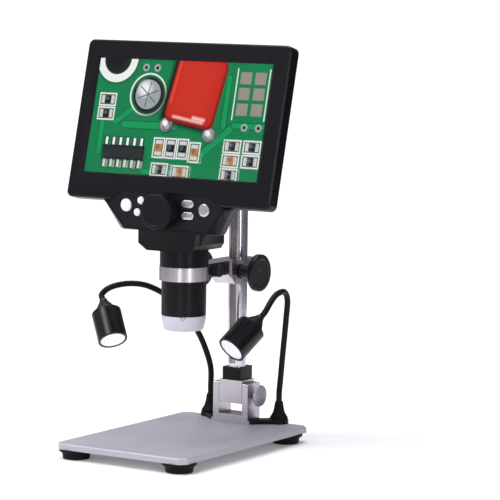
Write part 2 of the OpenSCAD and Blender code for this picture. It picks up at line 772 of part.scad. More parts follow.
module focus_knob(side) {
    r = focus_knob_d/2;
    t = focus_knob_t;
    color(satin_black) translate([0, pinion_y, focus_z]) mirror([side < 0 ? 1 : 0, 0, 0]) rotate([0, 90, 0])
        difference() {
            rotate_extrude() polygon([[0, hub_x], [hub_r, hub_x], [hub_r, knob_x],
                [r - 1, knob_x], [r, knob_x + 0.9], [r, knob_x + t - 0.9], [r - 1.1, knob_x + t],
                [r - 4.2, knob_x + t], [r - 4.8, knob_x + t - 0.7], [0, knob_x + t - 0.7]]);
            translate([0, 0, hub_x - 1]) cylinder(r = shaft_r, h = knob_span/2 - 2 - hub_x + 1);
        }
}

module focus_knobs() {
    focus_knob(-1);
    focus_knob(1);
}

module clamp_knob() {
    r = clamp_knob_d/2;
    color(satin_black) along_x(arm_w/2 + seat, clamp_y, clamp_z) difference() {
        union() {
            cylinder(r = r, h = 1.4);
            cylinder(r = r - 1.2, h = 3);
            translate([0, 0, 2.4]) knurled(r, 4.8, 28, 0.35);
        }
        translate([0, 0, -1]) cylinder(r = m4_r, h = 5);
    }
}

module clamp_stud() {
    color(steel) along_x(-arm_w/2 + 0.6, clamp_y, clamp_z) cylinder(r = m4_r, h = arm_w - 0.6 + 4);
}

// ---- screen housing ----

function inset(p, d) = let (n = len(p)) [for (i = [0:n - 1]) let (
    u = unit(p[i] - p[(i + n - 1)%n]),
    v = unit(p[(i + 1)%n] - p[i]),
    a = [-u.y, u.x],
    b = [-v.y, v.x]) p[i] + d*(a + b)/(1 + a*b)];

// a layer of the housing between two depths behind the front face
module layer(from, to, grow = 0) {
    translate([screen_x, screen_y, -to]) linear_extrude(to - from)
        rounded(screen_w + 2*grow, screen_h + 2*grow, max(screen_r + grow, 0.5));
}

module thin_rect(w, h, n, r = 3) {
    translate([screen_x, screen_y, -n]) linear_extrude(2*eps) rounded(w, h, r, $fn = 32);
}

module bezel_body() {
    layer(edge_bevel, seam);
    hull() {
        thin_rect(screen_w, screen_h, edge_bevel + eps, screen_r);
        thin_rect(screen_w - 2*edge_bevel, screen_h - 2*edge_bevel, eps, screen_r - edge_bevel);
    }
}

module window_cut() {
    hull() {
        translate([0, 0, -window_depth - eps]) linear_extrude(eps) square([lcd_w, lcd_h], center = true);
        translate([0, 0, eps]) linear_extrude(eps)
            square([lcd_w + 2*window_slope_x, lcd_h + 2*window_slope_y], center = true);
    }
}

// panel-shaped block from one depth in front of the optical axis to another
module block_front(points, from, to) {
    facing_front(0, -from, 0) linear_extrude(to - from) polygon(points);
}

module skirt_block() {
    block_front(skirt_core, split_y, side_y);
    for (s = [0, 1]) mirror([s, 0, 0]) block_front(flare, split_y, side_y);
}

module skirt_flanks() {
    hull() {
        block_front(hexagon, panel_y - eps, panel_y);
        block_front(skirt_core, side_y - eps, side_y);
    }
    for (s = [0, 1]) mirror([s, 0, 0]) hull() {
        block_front([[52, panel_mid], [51.9, panel_mid - 0.1], [46, panel_mid + 4.8]],
            panel_y - eps, panel_y);
        block_front(flare, side_y - eps, side_y);
    }
}

// the neck between two distances behind the optical axis, shrunk by a wall all round
module neck_block(from, to, wall) {
    w = neck_half - wall;
    z0 = neck_z + (wall > 0 ? neck_floor : 0);
    cut = neck_cut - [wall, wall]*0.4;
    intersection() {
        facing_front(0, to, 0) linear_extrude(to - from) polygon([[-w + cut.x, z0], [w - cut.x, z0],
            [w, z0 + cut.y], [w, neck_top + 8], [-w, neck_top + 8], [-w, z0 + cut.y]]);
        linear_extrude(neck_top + 10) polygon([[-w, neck_front + wall], [w, neck_front + wall],
            [w, neck_back - wall - neck_back_cut], [w - neck_back_cut, neck_back - wall],
            [-w + neck_back_cut, neck_back - wall], [-w, neck_back - wall - neck_back_cut]]);
    }
}

module screw_spots() {
    for (sx = [-1, 1], sy = [-1, 1]) translate([screen_x + sx*(screen_w/2 - screw_inset),
        screen_y + sy*(screen_h/2 - screw_inset), 0]) children();
}

module front_housing() {
    front_wall = window_depth + glass_t;
    color(moulding) difference() {
        union() {
            on_screen() bezel_body();
            skirt_block();
            skirt_flanks();
            neck_block(neck_front, -split_y, 0);
        }
        // window, glass rebate and the space for the display
        on_screen() {
            window_cut();
            translate([0, 0, -front_wall - eps]) linear_extrude(glass_t + 2*eps)
                square([lcd_w + 2*glass_margin, lcd_h + 2*glass_margin], center = true);
            difference() {
                layer(front_wall, seam + 1, -shell_wall);
                screw_spots() translate([0, 0, -seam - 2]) cylinder(r = screw_boss_r, h = seam);
            }
            screw_spots() translate([0, 0, -seam - 1]) cylinder(r = m2_r, h = seam - 0.8);
        }
        // seat of the control panel, its ledge and the space behind it
        block_front(hexagon, panel_y, panel_y + 10);
        block_front(inset(hexagon, panel_rim), panel_y - panel_t, panel_y + 1);
        block_front(inset(hexagon, panel_rim + ledge), split_y - 8, panel_y);
        block_front(inset(skirt_core, shell_wall), split_y - 1, panel_y - panel_t - ledge - 1);
        neck_block(neck_front + shell_wall, -split_y + 1, shell_wall);
        translate([0, 0, neck_z - 1]) cylinder(r = neck_bore, h = neck_floor + 2);
    }
}

module bulge(wall) {
    depth = screen_t + bulge_t - wall;
    start = wall > 0 ? seam - 0.5 : seam + 0.5;
    shoulder = screen_t + 2;
    w = bulge_w - 2*wall;
    h = bulge_h - 2*wall;
    translate([screen_x, screen_y, -shoulder]) linear_extrude(shoulder - start) rounded(w, h, 8, $fn = 32);
    hull() {
        thin_rect(w, h, shoulder, 8);
        thin_rect(w - 2*bulge_slope, h - 2*bulge_slope, depth, 6);
    }
}

module fairing(wall) {
    w = neck_half - wall;
    hull() {
        translate([0, 0, neck_top - wall]) linear_extrude(8) polygon([
            [-w, -split_y + 1], [w, -split_y + 1],
            [w, neck_back - wall - neck_back_cut], [w - neck_back_cut, neck_back - wall],
            [-w + neck_back_cut, neck_back - wall], [-w, neck_back - wall - neck_back_cut]]);
        on_screen() translate([0, -26, -screen_t - bulge_t + 1 + wall]) linear_extrude(eps)
            rounded(2*w + 18, 24, 6, $fn = 24);
    }
}

// room for the lens carrier's rack behind the panel, grown by a wall all round
module rack_pocket(wall) {
    low = lens_rack_x - 1 - wall;
    high = lens_rack_end + 0.6 + wall;
    top = wheel_z + lens_rack_reach + lens_travel + 0.6 + wall;
    block_front([[low, wheel_z], [high, wheel_z], [high, top], [low, top]],
        -lens_rack_y - 0.6 - wall, split_y + 1 - wall/4);
}

module rear_housing() {
    color(moulding) difference() {
        union() {
            on_screen() {
                layer(seam, screen_t);
                bulge(0);
            }
            fairing(0);
            neck_block(-split_y, neck_back, 0);
            block_front(skirt_core, split_y - shell_wall, split_y);
            block_front([[-50, panel_top - 9], [50, panel_top - 9], [46, panel_top + 1],
                [-46, panel_top + 1]], split_y - shell_wall, side_y);
            rack_pocket(shell_wall);
        }
        difference() {
            union() {
                on_screen() bulge(shell_wall);
                fairing(shell_wall);
                neck_block(-split_y - 1, neck_back, shell_wall);
            }
            // ledges for the sensor board
            for (s = [-1, 1]) translate([s*(neck_half - shell_wall) - 3, -9, sensor_z - 3])
                cube([6, 20, 3]);
        }
        rack_pocket(0);
        // the rim is hollow round the screw bosses
        on_screen() difference() {
            layer(seam - 1, screen_t - shell_wall, -shell_wall);
            screw_spots() translate([0, 0, -screen_t]) cylinder(r = screw_boss_r, h = screen_t);
        }
        // what the front shell and the space behind the panel take up
        block_front(inset(hexagon, panel_rim + ledge), split_y, panel_y);
        skirt_block();
        skirt_flanks();
        for (s = [0, 1]) mirror([s, 0, 0]) translate([53, -side_y - 0.1, panel_top - 9.6]) cube([2, 0.7, 3]);
        on_screen() layer(-30, seam, 10);
        on_screen() screw_spots() translate([0, 0, -screen_t - 1]) {
            cylinder(r = m2_r + running, h = screen_t);
            cylinder(r = m2_head.x + air, h = 1 + m2_head.y + seat);
        }
        translate([0, 0, neck_z - 1]) cylinder(r = neck_bore, h = neck_floor + 2);
        // vents
        on_screen() for (i = [-3:3]) translate([i*7, 22, -screen_t - bulge_t - 1])
            linear_extrude(bulge_t) rotate([0, 0, 90]) slot2d(16, 2.2);
    }
}

module housing_screws() {
    color(steel) on_screen() screw_spots() translate([0, 0, -screen_t + m2_head.y + seat])
        rotate([180, 0, 0]) screw(m2_r, screen_t - m2_head.y - seat - 2.4, m2_head);
}

module screen_glass() {
    color("#8fa3b0") on_screen() translate([0, 0, -window_depth - glass_t]) linear_extrude(glass_t)
        square([lcd_w + 2*glass_margin - 2*seat, lcd_h + 2*glass_margin - 2*seat], center = true);
}

module lcd_panel() {
    color("#3a3c40") on_screen() translate([0, 0, -window_depth - glass_t - lcd_t]) linear_extrude(lcd_t)
        square([lcd_w, lcd_h] + 2*lcd_frame, center = true);
}

module main_board() {
    lcd_back = window_depth + glass_t + lcd_t;
    color(board_green) on_screen() {
        translate([0, 8, -board_n - board_t]) linear_extrude(board_t) square(board_size, center = true);
        for (sx = [-1, 1], sy = [-1, 1])
            translate([sx*(board_size.x/2 - 4), 8 + sy*(board_size.y/2 - 4), -board_n])
            cylinder(r = 2, h = board_n - lcd_back);
        translate([12, -6, -board_n - board_t - 1.6]) linear_extrude(1.6 + eps) square([16, 16]);
        translate([38, 6, -board_n - board_t - 1]) linear_extrude(1 + eps) square([9, 12]);
        translate([14, 18, -board_n - board_t - 2.4]) linear_extrude(2.4 + eps) square([14, 10]);
    }
}

module battery_pack() {
    color("#3d6fb0") on_screen() translate([-26, 8, -board_n - board_t - 6]) linear_extrude(6)
        rounded(50, 36, 2);
}

// ---- control panel ----

module button_hole(p, l, w) {
    facing_front(p.x, -panel_y + panel_t + 1, p.y) linear_extrude(panel_t + 2)
        slot2d(l + 2*button_gap, w + 2*button_gap);
}

// cap through the panel, flange behind it and a stem towards the switch
module button(p, l, w, face) {
    back = -panel_y + panel_t + seat;
    color(face) facing_front(p.x, back, p.y) {
        linear_extrude(panel_t + button_proud - 0.5 - seat) slot2d(l, w);
        translate([0, 0, panel_t + button_proud - 0.5 - seat - eps]) linear_extrude(0.5 + eps)
            slot2d(l - 0.6, w - 0.6);
        translate([0, 0, -flange_t]) linear_extrude(flange_t + eps) slot2d(l + 2*flange, w + 2*flange);
        translate([0, 0, -flange_t - stem_l]) cylinder(r = 1.3, h = stem_l + eps);
    }
}

module left_round_button() { button([-round_x, round_z], button_d, button_d, pale); }
module right_round_button() { button([round_x, round_z], button_d, button_d, silvery); }
module upper_small_button() { button(small_places[0], small_button_d, small_button_d, pale); }
module lower_small_button() { button(small_places[1], small_button_d, small_button_d, pale); }
module upper_oval_button() { button(oval_places[0], oval_l, oval_w, silvery); }
module lower_oval_button() { button(oval_places[1], oval_l, oval_w, silvery); }

module control_panel() {
    boss_r = wheel_shaft_r + 3;
    boss_end = button_board_y - board_t - 1.2;
    color(moulding) difference() {
        union() {
            block_front(inset(hexagon, panel_rim + seat), panel_y - panel_t, panel_y);
            facing_front(0, -boss_end, wheel_z) cylinder(r = boss_r, h = panel_y - panel_t - boss_end + eps);
            for (p = peg_places) facing_front(p.x, -button_board_y, p.y)
                cylinder(r = 2.2, h = panel_y - panel_t - button_board_y + eps);
        }
        facing_front(0, 0, wheel_z) cylinder(r = wheel_shaft_r + running, h = panel_y + 1);
        for (s = [-1, 1]) button_hole([s*round_x, round_z], button_d, button_d);
        for (p = small_places) button_hole(p, small_button_d, small_button_d);
        for (p = oval_places) button_hole(p, oval_l, oval_w);
    }
}

module button_board() {
    color(board_green) {
        difference() {
            block_front(inset(hexagon, panel_rim + ledge + 0.6), button_board_y - board_t, button_board_y);
            facing_front(0, 0, wheel_z) cylinder(r = wheel_shaft_r + 3.4, h = panel_y);
        }
        for (p = concat([[-round_x, round_z], [round_x, round_z]], small_places, oval_places))
            translate([p.x - 2.2, -switch_y, p.y - 2.2]) cube([4.4, switch_h + eps, 4.4]);
    }
}

module focus_wheel() {
    r = wheel_d/2;
    back = -panel_y - air;
    color(satin_black) facing_front(0, back, wheel_z) difference() {
        union() {
            cylinder(r = r - 1.2, h = 1.2);
            translate([0, 0, 1]) knurled(r, wheel_h - 2.2, 60, 0.35);
            translate([0, 0, wheel_h - 1.2 - eps]) cylinder(r1 = r - 0.4, r2 = r - 1.5, h = 1.2);
        }
        translate([0, 0, -1]) cylinder(r = wheel_shaft_r, h = wheel_h - 1.4);
        translate([0, 0, wheel_h - 0.4]) cylinder(r = r - 3.4, h = 1);
    }
}

module wheel_shaft() {
    pinion_from = -lens_rack_y - 0.2;
    color(steel) {
        facing_front(0, -pinion_from + 1.2, wheel_z)
            cylinder(r = wheel_shaft_r, h = panel_y + air + wheel_h - 1.2 - pinion_from);
        facing_front(0, -pinion_from, wheel_z) linear_extrude(lens_rack_w + 0.4)
            gear2d(lens_module, lens_teeth, backlash/2);
    }
}

// ---- optics ----

module upper_barrel() {
    inner = carrier_r + 1.5;
    color(satin_black) rotate_extrude() polygon([
        [barrel_r + seat, head_z + seat], [upper_d/2 - 0.5, head_z + seat], [upper_d/2, head_z + 0.6],
        [upper_d/2, neck_z - 0.5], [upper_d/2 - 0.5, neck_z], [spigot_r, neck_z],
        [spigot_r, neck_z + spigot_h], [inner, neck_z + spigot_h], [inner, head_z + socket_h + seat],
        [barrel_r + seat, head_z + socket_h + seat]]);
}

module lower_barrel() {
    inner = barrel_r - barrel_wall;
    color(satin_black) rotate_extrude() polygon([
        [inner, barrel_end], [barrel_r - 0.4, barrel_end], [barrel_r, barrel_end + 0.4],
        [barrel_r, head_z + socket_h], [inner, head_z + socket_h]]);
}

module barrel_nut() {
    color(steel) translate([0, 0, neck_z + neck_floor]) difference() {
        cylinder(r = spigot_r + 2.2, h = 3);
        translate([0, 0, -1]) cylinder(r = spigot_r + seat, h = 5);
    }
}

module lens_tip() {
    spigot = barrel_r - barrel_wall - seat;
    bore = spigot - tip_wall;
    color("#c4c4ce") difference() {
        rotate_extrude() polygon([[bore - 1, tip_end], [tip_end_d/2 - 1.2, tip_end],
            [tip_end_d/2 - 0.4, tip_end + 0.4], [tip_end_d/2, tip_end + 1.3],
            [barrel_r - 0.2, barrel_end - 3], [barrel_r - 0.2, barrel_end],
            [spigot, barrel_end], [spigot, barrel_end + 5], [bore, barrel_end + 5], [bore, tip_end + 1],
            [bore - 1, tip_end + 1]]);
        rotate([0, 0, notch_turn]) facing_front(0, -barrel_r + notch_depth, barrel_end) linear_extrude(3)
            polygon([[-notch_half, 0.1], [-notch_half*0.4, -notch_h*0.7], [0, -notch_h],
                [notch_half*0.4, -notch_h*0.7], [notch_half, 0.1]]);
    }
}

module light_ring() {
    outer = barrel_r - barrel_wall - tip_wall - 0.05 - seat;
    color("#e8e8e0") translate([0, 0, tip_end + 4]) {
        difference() {
            cylinder(r = outer, h = 1.2);
            translate([0, 0, -1]) cylinder(r = carrier_r + 0.6, h = 4);
        }
        for (i = [0:7]) rotate([0, 0, 45*i]) translate([(outer + carrier_r + 0.6)/2, 0, -1.2])
            cylinder(r = 1.2, h = 1.2 + eps, $fn = 24);
    }
}

module sensor_board() {
    color(board_green) {
        translate([-sensor_board_half, -9, sensor_z]) cube([2*sensor_board_half, 18, board_t]);
        translate([-6, -6, sensor_z - 1.4]) cube([12, 12, 1.4 + eps]);
    }
}

module lens_carrier() {
    guide_low = barrel_end + 12.5;
    guide_high = head_z - 3.6;
    color(satin_black) {
        rotate_extrude() polygon([[carrier_r - carrier_wall, carrier_end], [carrier_r, carrier_end],
            [carrier_r, guide_low], [guide_r, guide_low],
            [guide_r, guide_low + guide_h], [carrier_r, guide_low + guide_h],
            [carrier_r, guide_high], [guide_r, guide_high],
            [guide_r, guide_high + guide_h], [carrier_r, guide_high + guide_h],
            [carrier_r, carrier_top], [carrier_r - carrier_wall, carrier_top]]);
        translate([lens_rack_x + 1, lens_rack_y - lens_rack_w, lens_bridge])
            cube([3.4, lens_rack_w - lens_rack_y - 6.4, carrier_top - lens_bridge]);
        translate([lens_rack_x + lens_rack_t - eps, lens_rack_y - lens_rack_w, lens_bridge])
            cube([2, lens_rack_w, wheel_z + lens_rack_reach - lens_bridge]);
        facing_front(lens_rack_x, lens_rack_y, wheel_z) linear_extrude(lens_rack_w)
            rack2d(lens_module, -lens_rack_reach, lens_rack_reach, lens_rack_t, backlash);
    }
}

module objective_lens() {
    r = carrier_r - carrier_wall - seat;
    thick = 3.6;
    sag = 0.9;
    color("#b9cdd8") translate([0, 0, carrier_end + 1]) rotate_extrude() polygon(concat([[0, 0]],
        [for (k = [1:6]) [r*k/6, sag*pow(k/6, 2)]],
        [for (k = [6:-1:1]) [r*k/6, thick - sag*pow(k/6, 2)]], [[0, thick]]));
}

// ---- lamps ----

module ferrule(side) {
    color(steel) translate([side*boot_x, boot_y, bar_t + 0.1]) difference() {
        union() {
            cylinder(r = ferrule_flange.x, h = ferrule_flange.y);
            cylinder(r = ferrule_r, h = boot_h*0.6 - 0.2);
        }
        translate([0, 0, 1]) cylinder(r = neck_r + seat, h = boot_h);
    }
}

module lamp_neck(l) {
    color(satin_black) at_lamp(l) difference() {
        rotate_extrude() polygon([[0, lamp_l - 5], [lamp_lens_r, lamp_l - 5],
            [lamp_lens_r, lamp_l - lamp_rim],
            [lamp_r, lamp_l - lamp_rim], [lamp_r, lamp_l - 0.4], [lamp_r - 0.4, lamp_l],
            [lamp_root_d/2, lamp_l], [lamp_root_d/2 - 1, lamp_l + 2], [neck_r + 0.9, lamp_total - 1.5],
            [neck_r + 0.7, lamp_total], [0, lamp_total]]);
        translate([0, 0, lamp_total - 9]) cylinder(r = neck_r + running, h = 10);
        translate([0, 0, lamp_l - 6]) cylinder(r = 1.2, h = lamp_total);
    }
}

module lamp_cup(l) {
    color(satin_black) at_lamp(l) rotate_extrude() polygon([[lamp_lens_r + seat, 0], [lamp_r - 0.5, 0],
        [lamp_r, 0.5], [lamp_r, lamp_l - lamp_rim], [lamp_lens_r + seat, lamp_l - lamp_rim]]);
}

module lamp_lens(l) {
    color("#f4f4ff") at_lamp(l) translate([0, 0, 0.5]) cylinder(r = lamp_lens_r, h = 2);
}

module lamp_light(l) {
    color("#e8e8e0") at_lamp(l) {
        translate([0, 0, 12]) cylinder(r = lamp_lens_r, h = 2);
        translate([0, 0, 9.5]) cylinder(r = 3, h = 2.5 + eps);
    }
}

module left_ferrule() { ferrule(-1); }
module right_ferrule() { ferrule(1); }
module left_gooseneck() { color(rubber_black) swept_tube(smooth(left_route, 3), neck_r, [1, -1, 0]); }
module right_gooseneck() { color(rubber_black) swept_tube(smooth(right_route, 3), neck_r, [1, 0.3, 0]); }
module left_lamp_neck() { lamp_neck(left_lamp); }
module right_lamp_neck() { lamp_neck(right_lamp); }
module left_lamp_cup() { lamp_cup(left_lamp); }
module right_lamp_cup() { lamp_cup(right_lamp); }
module left_lamp_lens() { lamp_lens(left_lamp); }
module right_lamp_lens() { lamp_lens(right_lamp); }
module left_lamp_light() { lamp_light(left_lamp); }
module right_lamp_light() { lamp_light(right_lamp); }

base_plate();
rubber_feet();
foot_screws();
tilt_bracket();
bracket_screws();
lamp_base();
lamp_boots();
tilt_block();
post_collar();
post();
rack();
post_cap();
post_grub_screws();
tilt_knob();
tilt_stud();
carriage();
shaft_bushes();
tension_screws();
focus_shaft();
pinion();
focus_knobs();
clamp_knob();
clamp_stud();
front_housing();
rear_housing();
housing_screws();
control_panel();
screen_glass();
lcd_panel();
main_board();
battery_pack();
button_board();
upper_barrel();
lower_barrel();
barrel_nut();
lens_tip();
light_ring();
sensor_board();
lens_carrier();
objective_lens();
focus_wheel();
wheel_shaft();
left_round_button();
right_round_button();
upper_small_button();
lower_small_button();
upper_oval_button();
lower_oval_button();
left_ferrule();
left_gooseneck();
left_lamp_neck();
left_lamp_cup();
left_lamp_lens();
left_lamp_light();
right_ferrule();
right_gooseneck();
right_lamp_neck();
right_lamp_cup();
right_lamp_lens();
right_lamp_light();
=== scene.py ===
import json
import math

import bmesh
import bpy
from mathutils import Matrix, Vector

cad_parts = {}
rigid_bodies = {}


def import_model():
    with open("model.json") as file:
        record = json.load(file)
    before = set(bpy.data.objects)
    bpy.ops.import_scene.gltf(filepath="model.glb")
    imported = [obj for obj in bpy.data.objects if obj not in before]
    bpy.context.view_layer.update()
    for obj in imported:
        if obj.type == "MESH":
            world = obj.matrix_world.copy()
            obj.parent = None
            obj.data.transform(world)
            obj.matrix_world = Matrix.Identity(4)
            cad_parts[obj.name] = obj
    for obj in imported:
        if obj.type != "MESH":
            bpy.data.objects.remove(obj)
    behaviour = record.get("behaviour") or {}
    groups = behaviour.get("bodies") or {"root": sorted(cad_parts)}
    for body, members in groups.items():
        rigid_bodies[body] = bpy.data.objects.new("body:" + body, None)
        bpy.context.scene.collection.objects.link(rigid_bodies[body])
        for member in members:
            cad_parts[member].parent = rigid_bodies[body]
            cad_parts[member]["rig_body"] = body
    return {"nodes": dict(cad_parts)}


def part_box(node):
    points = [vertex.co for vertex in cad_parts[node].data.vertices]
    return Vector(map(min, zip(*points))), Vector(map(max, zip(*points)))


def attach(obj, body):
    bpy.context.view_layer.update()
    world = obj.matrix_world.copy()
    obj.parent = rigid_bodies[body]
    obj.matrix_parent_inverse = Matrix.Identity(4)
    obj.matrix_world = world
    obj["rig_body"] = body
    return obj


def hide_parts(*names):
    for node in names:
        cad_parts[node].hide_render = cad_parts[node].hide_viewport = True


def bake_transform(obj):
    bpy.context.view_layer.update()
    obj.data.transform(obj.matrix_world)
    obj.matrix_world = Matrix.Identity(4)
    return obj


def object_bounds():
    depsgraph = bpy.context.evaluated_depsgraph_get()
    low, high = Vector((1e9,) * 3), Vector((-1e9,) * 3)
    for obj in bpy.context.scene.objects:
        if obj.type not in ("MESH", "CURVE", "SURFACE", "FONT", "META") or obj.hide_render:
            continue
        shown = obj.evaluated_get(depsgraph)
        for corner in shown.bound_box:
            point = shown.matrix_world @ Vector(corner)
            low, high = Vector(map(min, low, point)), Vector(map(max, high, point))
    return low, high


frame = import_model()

# Finishes and fine shapes for the screen microscope. Sizes are in millimetres, turned into
# metres by mm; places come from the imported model's own boxes wherever it has them.

mm = 0.001
nodes = frame["nodes"]
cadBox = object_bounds()
scene = bpy.context.scene


def sizeOf(*names):
    corners = [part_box(name) for name in names]
    low = Vector([min(c[0][k] for c in corners) for k in range(3)]) / mm
    high = Vector([max(c[1][k] for c in corners) for k in range(3)]) / mm
    return low, high


def bodyOf(name):
    return nodes[name]["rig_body"]


# ---- camera ----

view = {
    "azimuth": 32.37,       # degrees round the part, from straight in front
    "elevation": 6.2,
    "roll": 0.73,
    "distance": 1.9527,
    "target": (0.05707, 0, 0.1412),
    "lens": 194.65,
    "sensor": 36,
    "reach": 20,            # nothing farther off is drawn
}


def addCamera():
    azimuth, elevation, roll = (math.radians(view[k]) for k in ("azimuth", "elevation", "roll"))
    back = Vector((math.sin(azimuth) * math.cos(elevation),
                   -math.cos(azimuth) * math.cos(elevation), math.sin(elevation)))
    level = Vector((math.cos(azimuth), math.sin(azimuth), 0))
    upright = back.cross(level)
    right = level * math.cos(roll) + upright * math.sin(roll)
    up = upright * math.cos(roll) - level * math.sin(roll)
    data = bpy.data.cameras.new("studioCamera")
    data.lens = view["lens"]
    data.sensor_width = view["sensor"]
    data.clip_end = view["reach"]
    camera = bpy.data.objects.new("studioCamera", data)
    scene.collection.objects.link(camera)
    turn = Matrix((right, up, back)).transposed().to_4x4()
    camera.matrix_world = Matrix.Translation(Vector(view["target"]) + back * view["distance"]) @ turn
    scene.camera = camera


addCamera()
print("camera is in place")


# ---- shader kit ----

class Wire:
    # one output socket; arithmetic on it adds Math nodes to its finish
    def __init__(self, finish, socket):
        self.finish = finish
        self.socket = socket

    def maths(self, operation, *values, clamp=False):
        return self.finish.node("Math", {"operation": operation, "use_clamp": clamp},
                                dict(enumerate(values)))

    def __add__(self, other):
        return self.maths("ADD", self, other)

    def __radd__(self, other):
        return self.maths("ADD", other, self)

    def __sub__(self, other):
        return self.maths("SUBTRACT", self, other)

    def __mul__(self, other):
        return self.maths("MULTIPLY", self, other)

    def __truediv__(self, other):
        return self.maths("DIVIDE", self, other)

    def __pow__(self, other):
        return self.maths("POWER", self, other)

    def __abs__(self):
        return self.maths("ABSOLUTE", self)

    def __gt__(self, other):
        return self.maths("GREATER_THAN", self, other)

    def above(self, other):
        return self.maths("MAXIMUM", self, other)

    def below(self, other):
        return self.maths("MINIMUM", self, other)

    def clamped(self):
        return self.maths("ADD", self, 0, clamp=True)

    def sine(self):
        return self.maths("SINE", self)


class Finish:
    # a material under construction, with one Principled shader
    def __init__(self, name, slotName, **sockets):
        self.material = bpy.data.materials.new(name)
        self.slotName = slotName
        self.material.use_nodes = True
        self.tree = self.material.node_tree
        self.tree.nodes.clear()
        self.shader = self.node("BsdfPrincipled", {}, {k.replace("_", " "): v for k, v in sockets.items()})
        self.node("OutputMaterial", {}, {"Surface": self.shader}, out=None)
        self.place = self.node("TexCoord", {}, {}, out="Object")

    def node(self, kind, settings, sockets, out=0):
        made = self.tree.nodes.new("ShaderNode" + kind)
        for key, value in settings.items():
            setattr(made, key, value)
        for key, value in sockets.items():
            target = made.inputs[key]
            if isinstance(value, Wire):
                self.tree.links.new(value.socket, target)
            else:
                target.default_value = value
        return None if out is None else Wire(self, made.outputs[out])

    def feed(self, socket, wire):
        self.tree.links.new(wire.socket, self.shader.socket.node.inputs[socket])

    def parts(self):
        split = self.node("SeparateXYZ", {}, {"Vector": self.place}).socket.node
        return [Wire(self, output) for output in split.outputs]

    def stretched(self, scale, turn=(0, 0, 0)):
        return self.node("Mapping", {}, {"Vector": self.place, "Scale": scale, "Rotation": turn})

    def noise(self, scale, detail=2, vector=None, rough=0.5):
        return self.node("TexNoise", {}, {"Vector": vector or self.place, "Scale": scale,
                                          "Detail": detail, "Roughness": rough})

    def between(self, mask, dark, light):
        # dark where the mask is 0, light where it is 1
        return self.node("Mix", {"data_type": "RGBA"}, {0: mask, 6: dark, 7: light}, out=2)

    def relief(self, height, distance, strength=1.0):
        self.feed("Normal", self.node("Bump", {}, {"Height": height, "Distance": distance,
                                                   "Strength": strength}))


def rgb(code, gain=1.0):
    # a web colour as linear light
    levels = [int(code[k:k + 2], 16) / 255 for k in (0, 2, 4)]
    return tuple(gain * (v / 12.92 if v <= 0.04045 else ((v + 0.055) / 1.055) ** 2.4)
                 for v in levels) + (1.0,)


# ---- finishes ----

def plastic(name, slotName, colour, roughness, grain=0.012, tint=0.35, coat=0.0, gloss=0.5):
    # moulded plastic: a fine spark-eroded grain, grain mm deep, and slow changes of colour and gloss
    f = Finish(name, slotName, Specular_IOR_Level=gloss, Coat_Weight=coat, Coat_Roughness=0.12)
    slow = f.noise(28, 3)
    fine = f.noise(2200, 2)
    f.feed("Base Color", f.between(slow, rgb(colour, 1 - tint), rgb(colour, 1 + tint)))
    f.feed("Roughness", roughness - 0.05 + slow * 0.06 + fine * 0.05)
    f.relief(fine, grain * mm)
    return f


def brushedMetal(name, slotName, colour, direction, roughness, metallic=1.0, wide=55.0, depth=0.3):
    # metal with fine lines along one direction (0, 1 or 2 for X, Y or Z), and broad soft bands of painted
    # reflection:
    # wide is how many to the metre, depth how far their colours lie apart
    f = Finish(name, slotName, Metallic=metallic)
    lines = f.noise(1.0, 3, f.stretched([22.0 if k == direction else 1400.0 for k in range(3)]))
    # painted reflection: broad lighter and darker streaks along the lines that stand in for the lights'
    # reflections
    reflectionBands = f.noise(1.0, 0, f.stretched([4.0 if k == direction else wide for k in range(3)]))
    tone = lines * 0.2 + reflectionBands * 0.8
    # the base colour carries the painted reflection bands as well as the fine lines
    f.feed("Base Color", f.between(tone, rgb(colour, 1 - depth), rgb(colour, 1 + depth / 2)))
    f.feed("Roughness", roughness + (lines - 0.5) * 0.1 + (reflectionBands - 0.5) * 0.2)
    f.relief(lines, 0.002 * mm, 0.6)
    return f


def facedMetal(name, slotName, colour, centre, pitch=0.35):
    # metal faced on a lathe, round an axis along X through centre (y, z), then rubbed in use
    f = Finish(name, slotName, Metallic=1.0)
    _, y, z = f.parts()
    far = ((y - centre[0] * mm) ** 2 + (z - centre[1] * mm) ** 2) ** 0.5
    rings = (far * (2 * math.pi / (pitch * mm))).sine() * 0.5 + 0.5
    cloud = f.noise(260, 3)
    rubs = f.noise(1.0, 4, f.stretched((1500.0, 240.0, 1500.0), (0.6, 0, 0)), 0.7)
    marks = ((rubs - 0.56) * 9).clamped()
    worn = f.between(cloud * 0.6 + rings * 0.4, rgb(colour, 0.5), rgb(colour, 1.0))
    f.feed("Base Color", f.between(marks * 0.8, worn, rgb(colour, 1.25)))
    f.feed("Roughness", 0.3 + rings * 0.08 + cloud * 0.14)
    f.relief(rings + marks * 0.6, 0.006 * mm, 0.6)
    return f


def paintedPlate():
    # matt grey skin of the aluminium plate
    f = Finish("anodisedPlate", "plate", Metallic=0.2)
    cloud = f.noise(7, 4)
    fine = f.noise(2600, 2)
    f.feed("Base Color", f.between(cloud, rgb("9c9ca5"), rgb("b8b8c2")))
    f.feed("Roughness", 0.4 + cloud * 0.06 + fine * 0.06)
    f.relief(fine, 0.01 * mm)
    return f


def polishedTube():
    # drawn and polished, with faint streaks up and down
    f = Finish("polishedTube", "post", Metallic=0.85)
    streaks = f.noise(1.0, 3, f.stretched((420.0, 420.0, 9.0)))
    f.feed("Base Color", f.between(streaks, rgb("b4b0b8"), rgb("e8e6ee")))
    f.feed("Roughness", 0.12 + streaks * 0.12)
    f.relief(streaks, 0.002 * mm, 0.4)
    return f


def cutSteel():
    # the sawn and milled rack, duller than the tube
    f = Finish("cutRack", "rack", Metallic=0.85)
    cloud = f.noise(160, 3)
    f.feed("Base Color", f.between(cloud, rgb("958c8e"), rgb("beb5b7")))
    f.feed("Roughness", 0.34 + cloud * 0.12)
    f.relief(f.noise(3000, 2), 0.004 * mm)
    return f


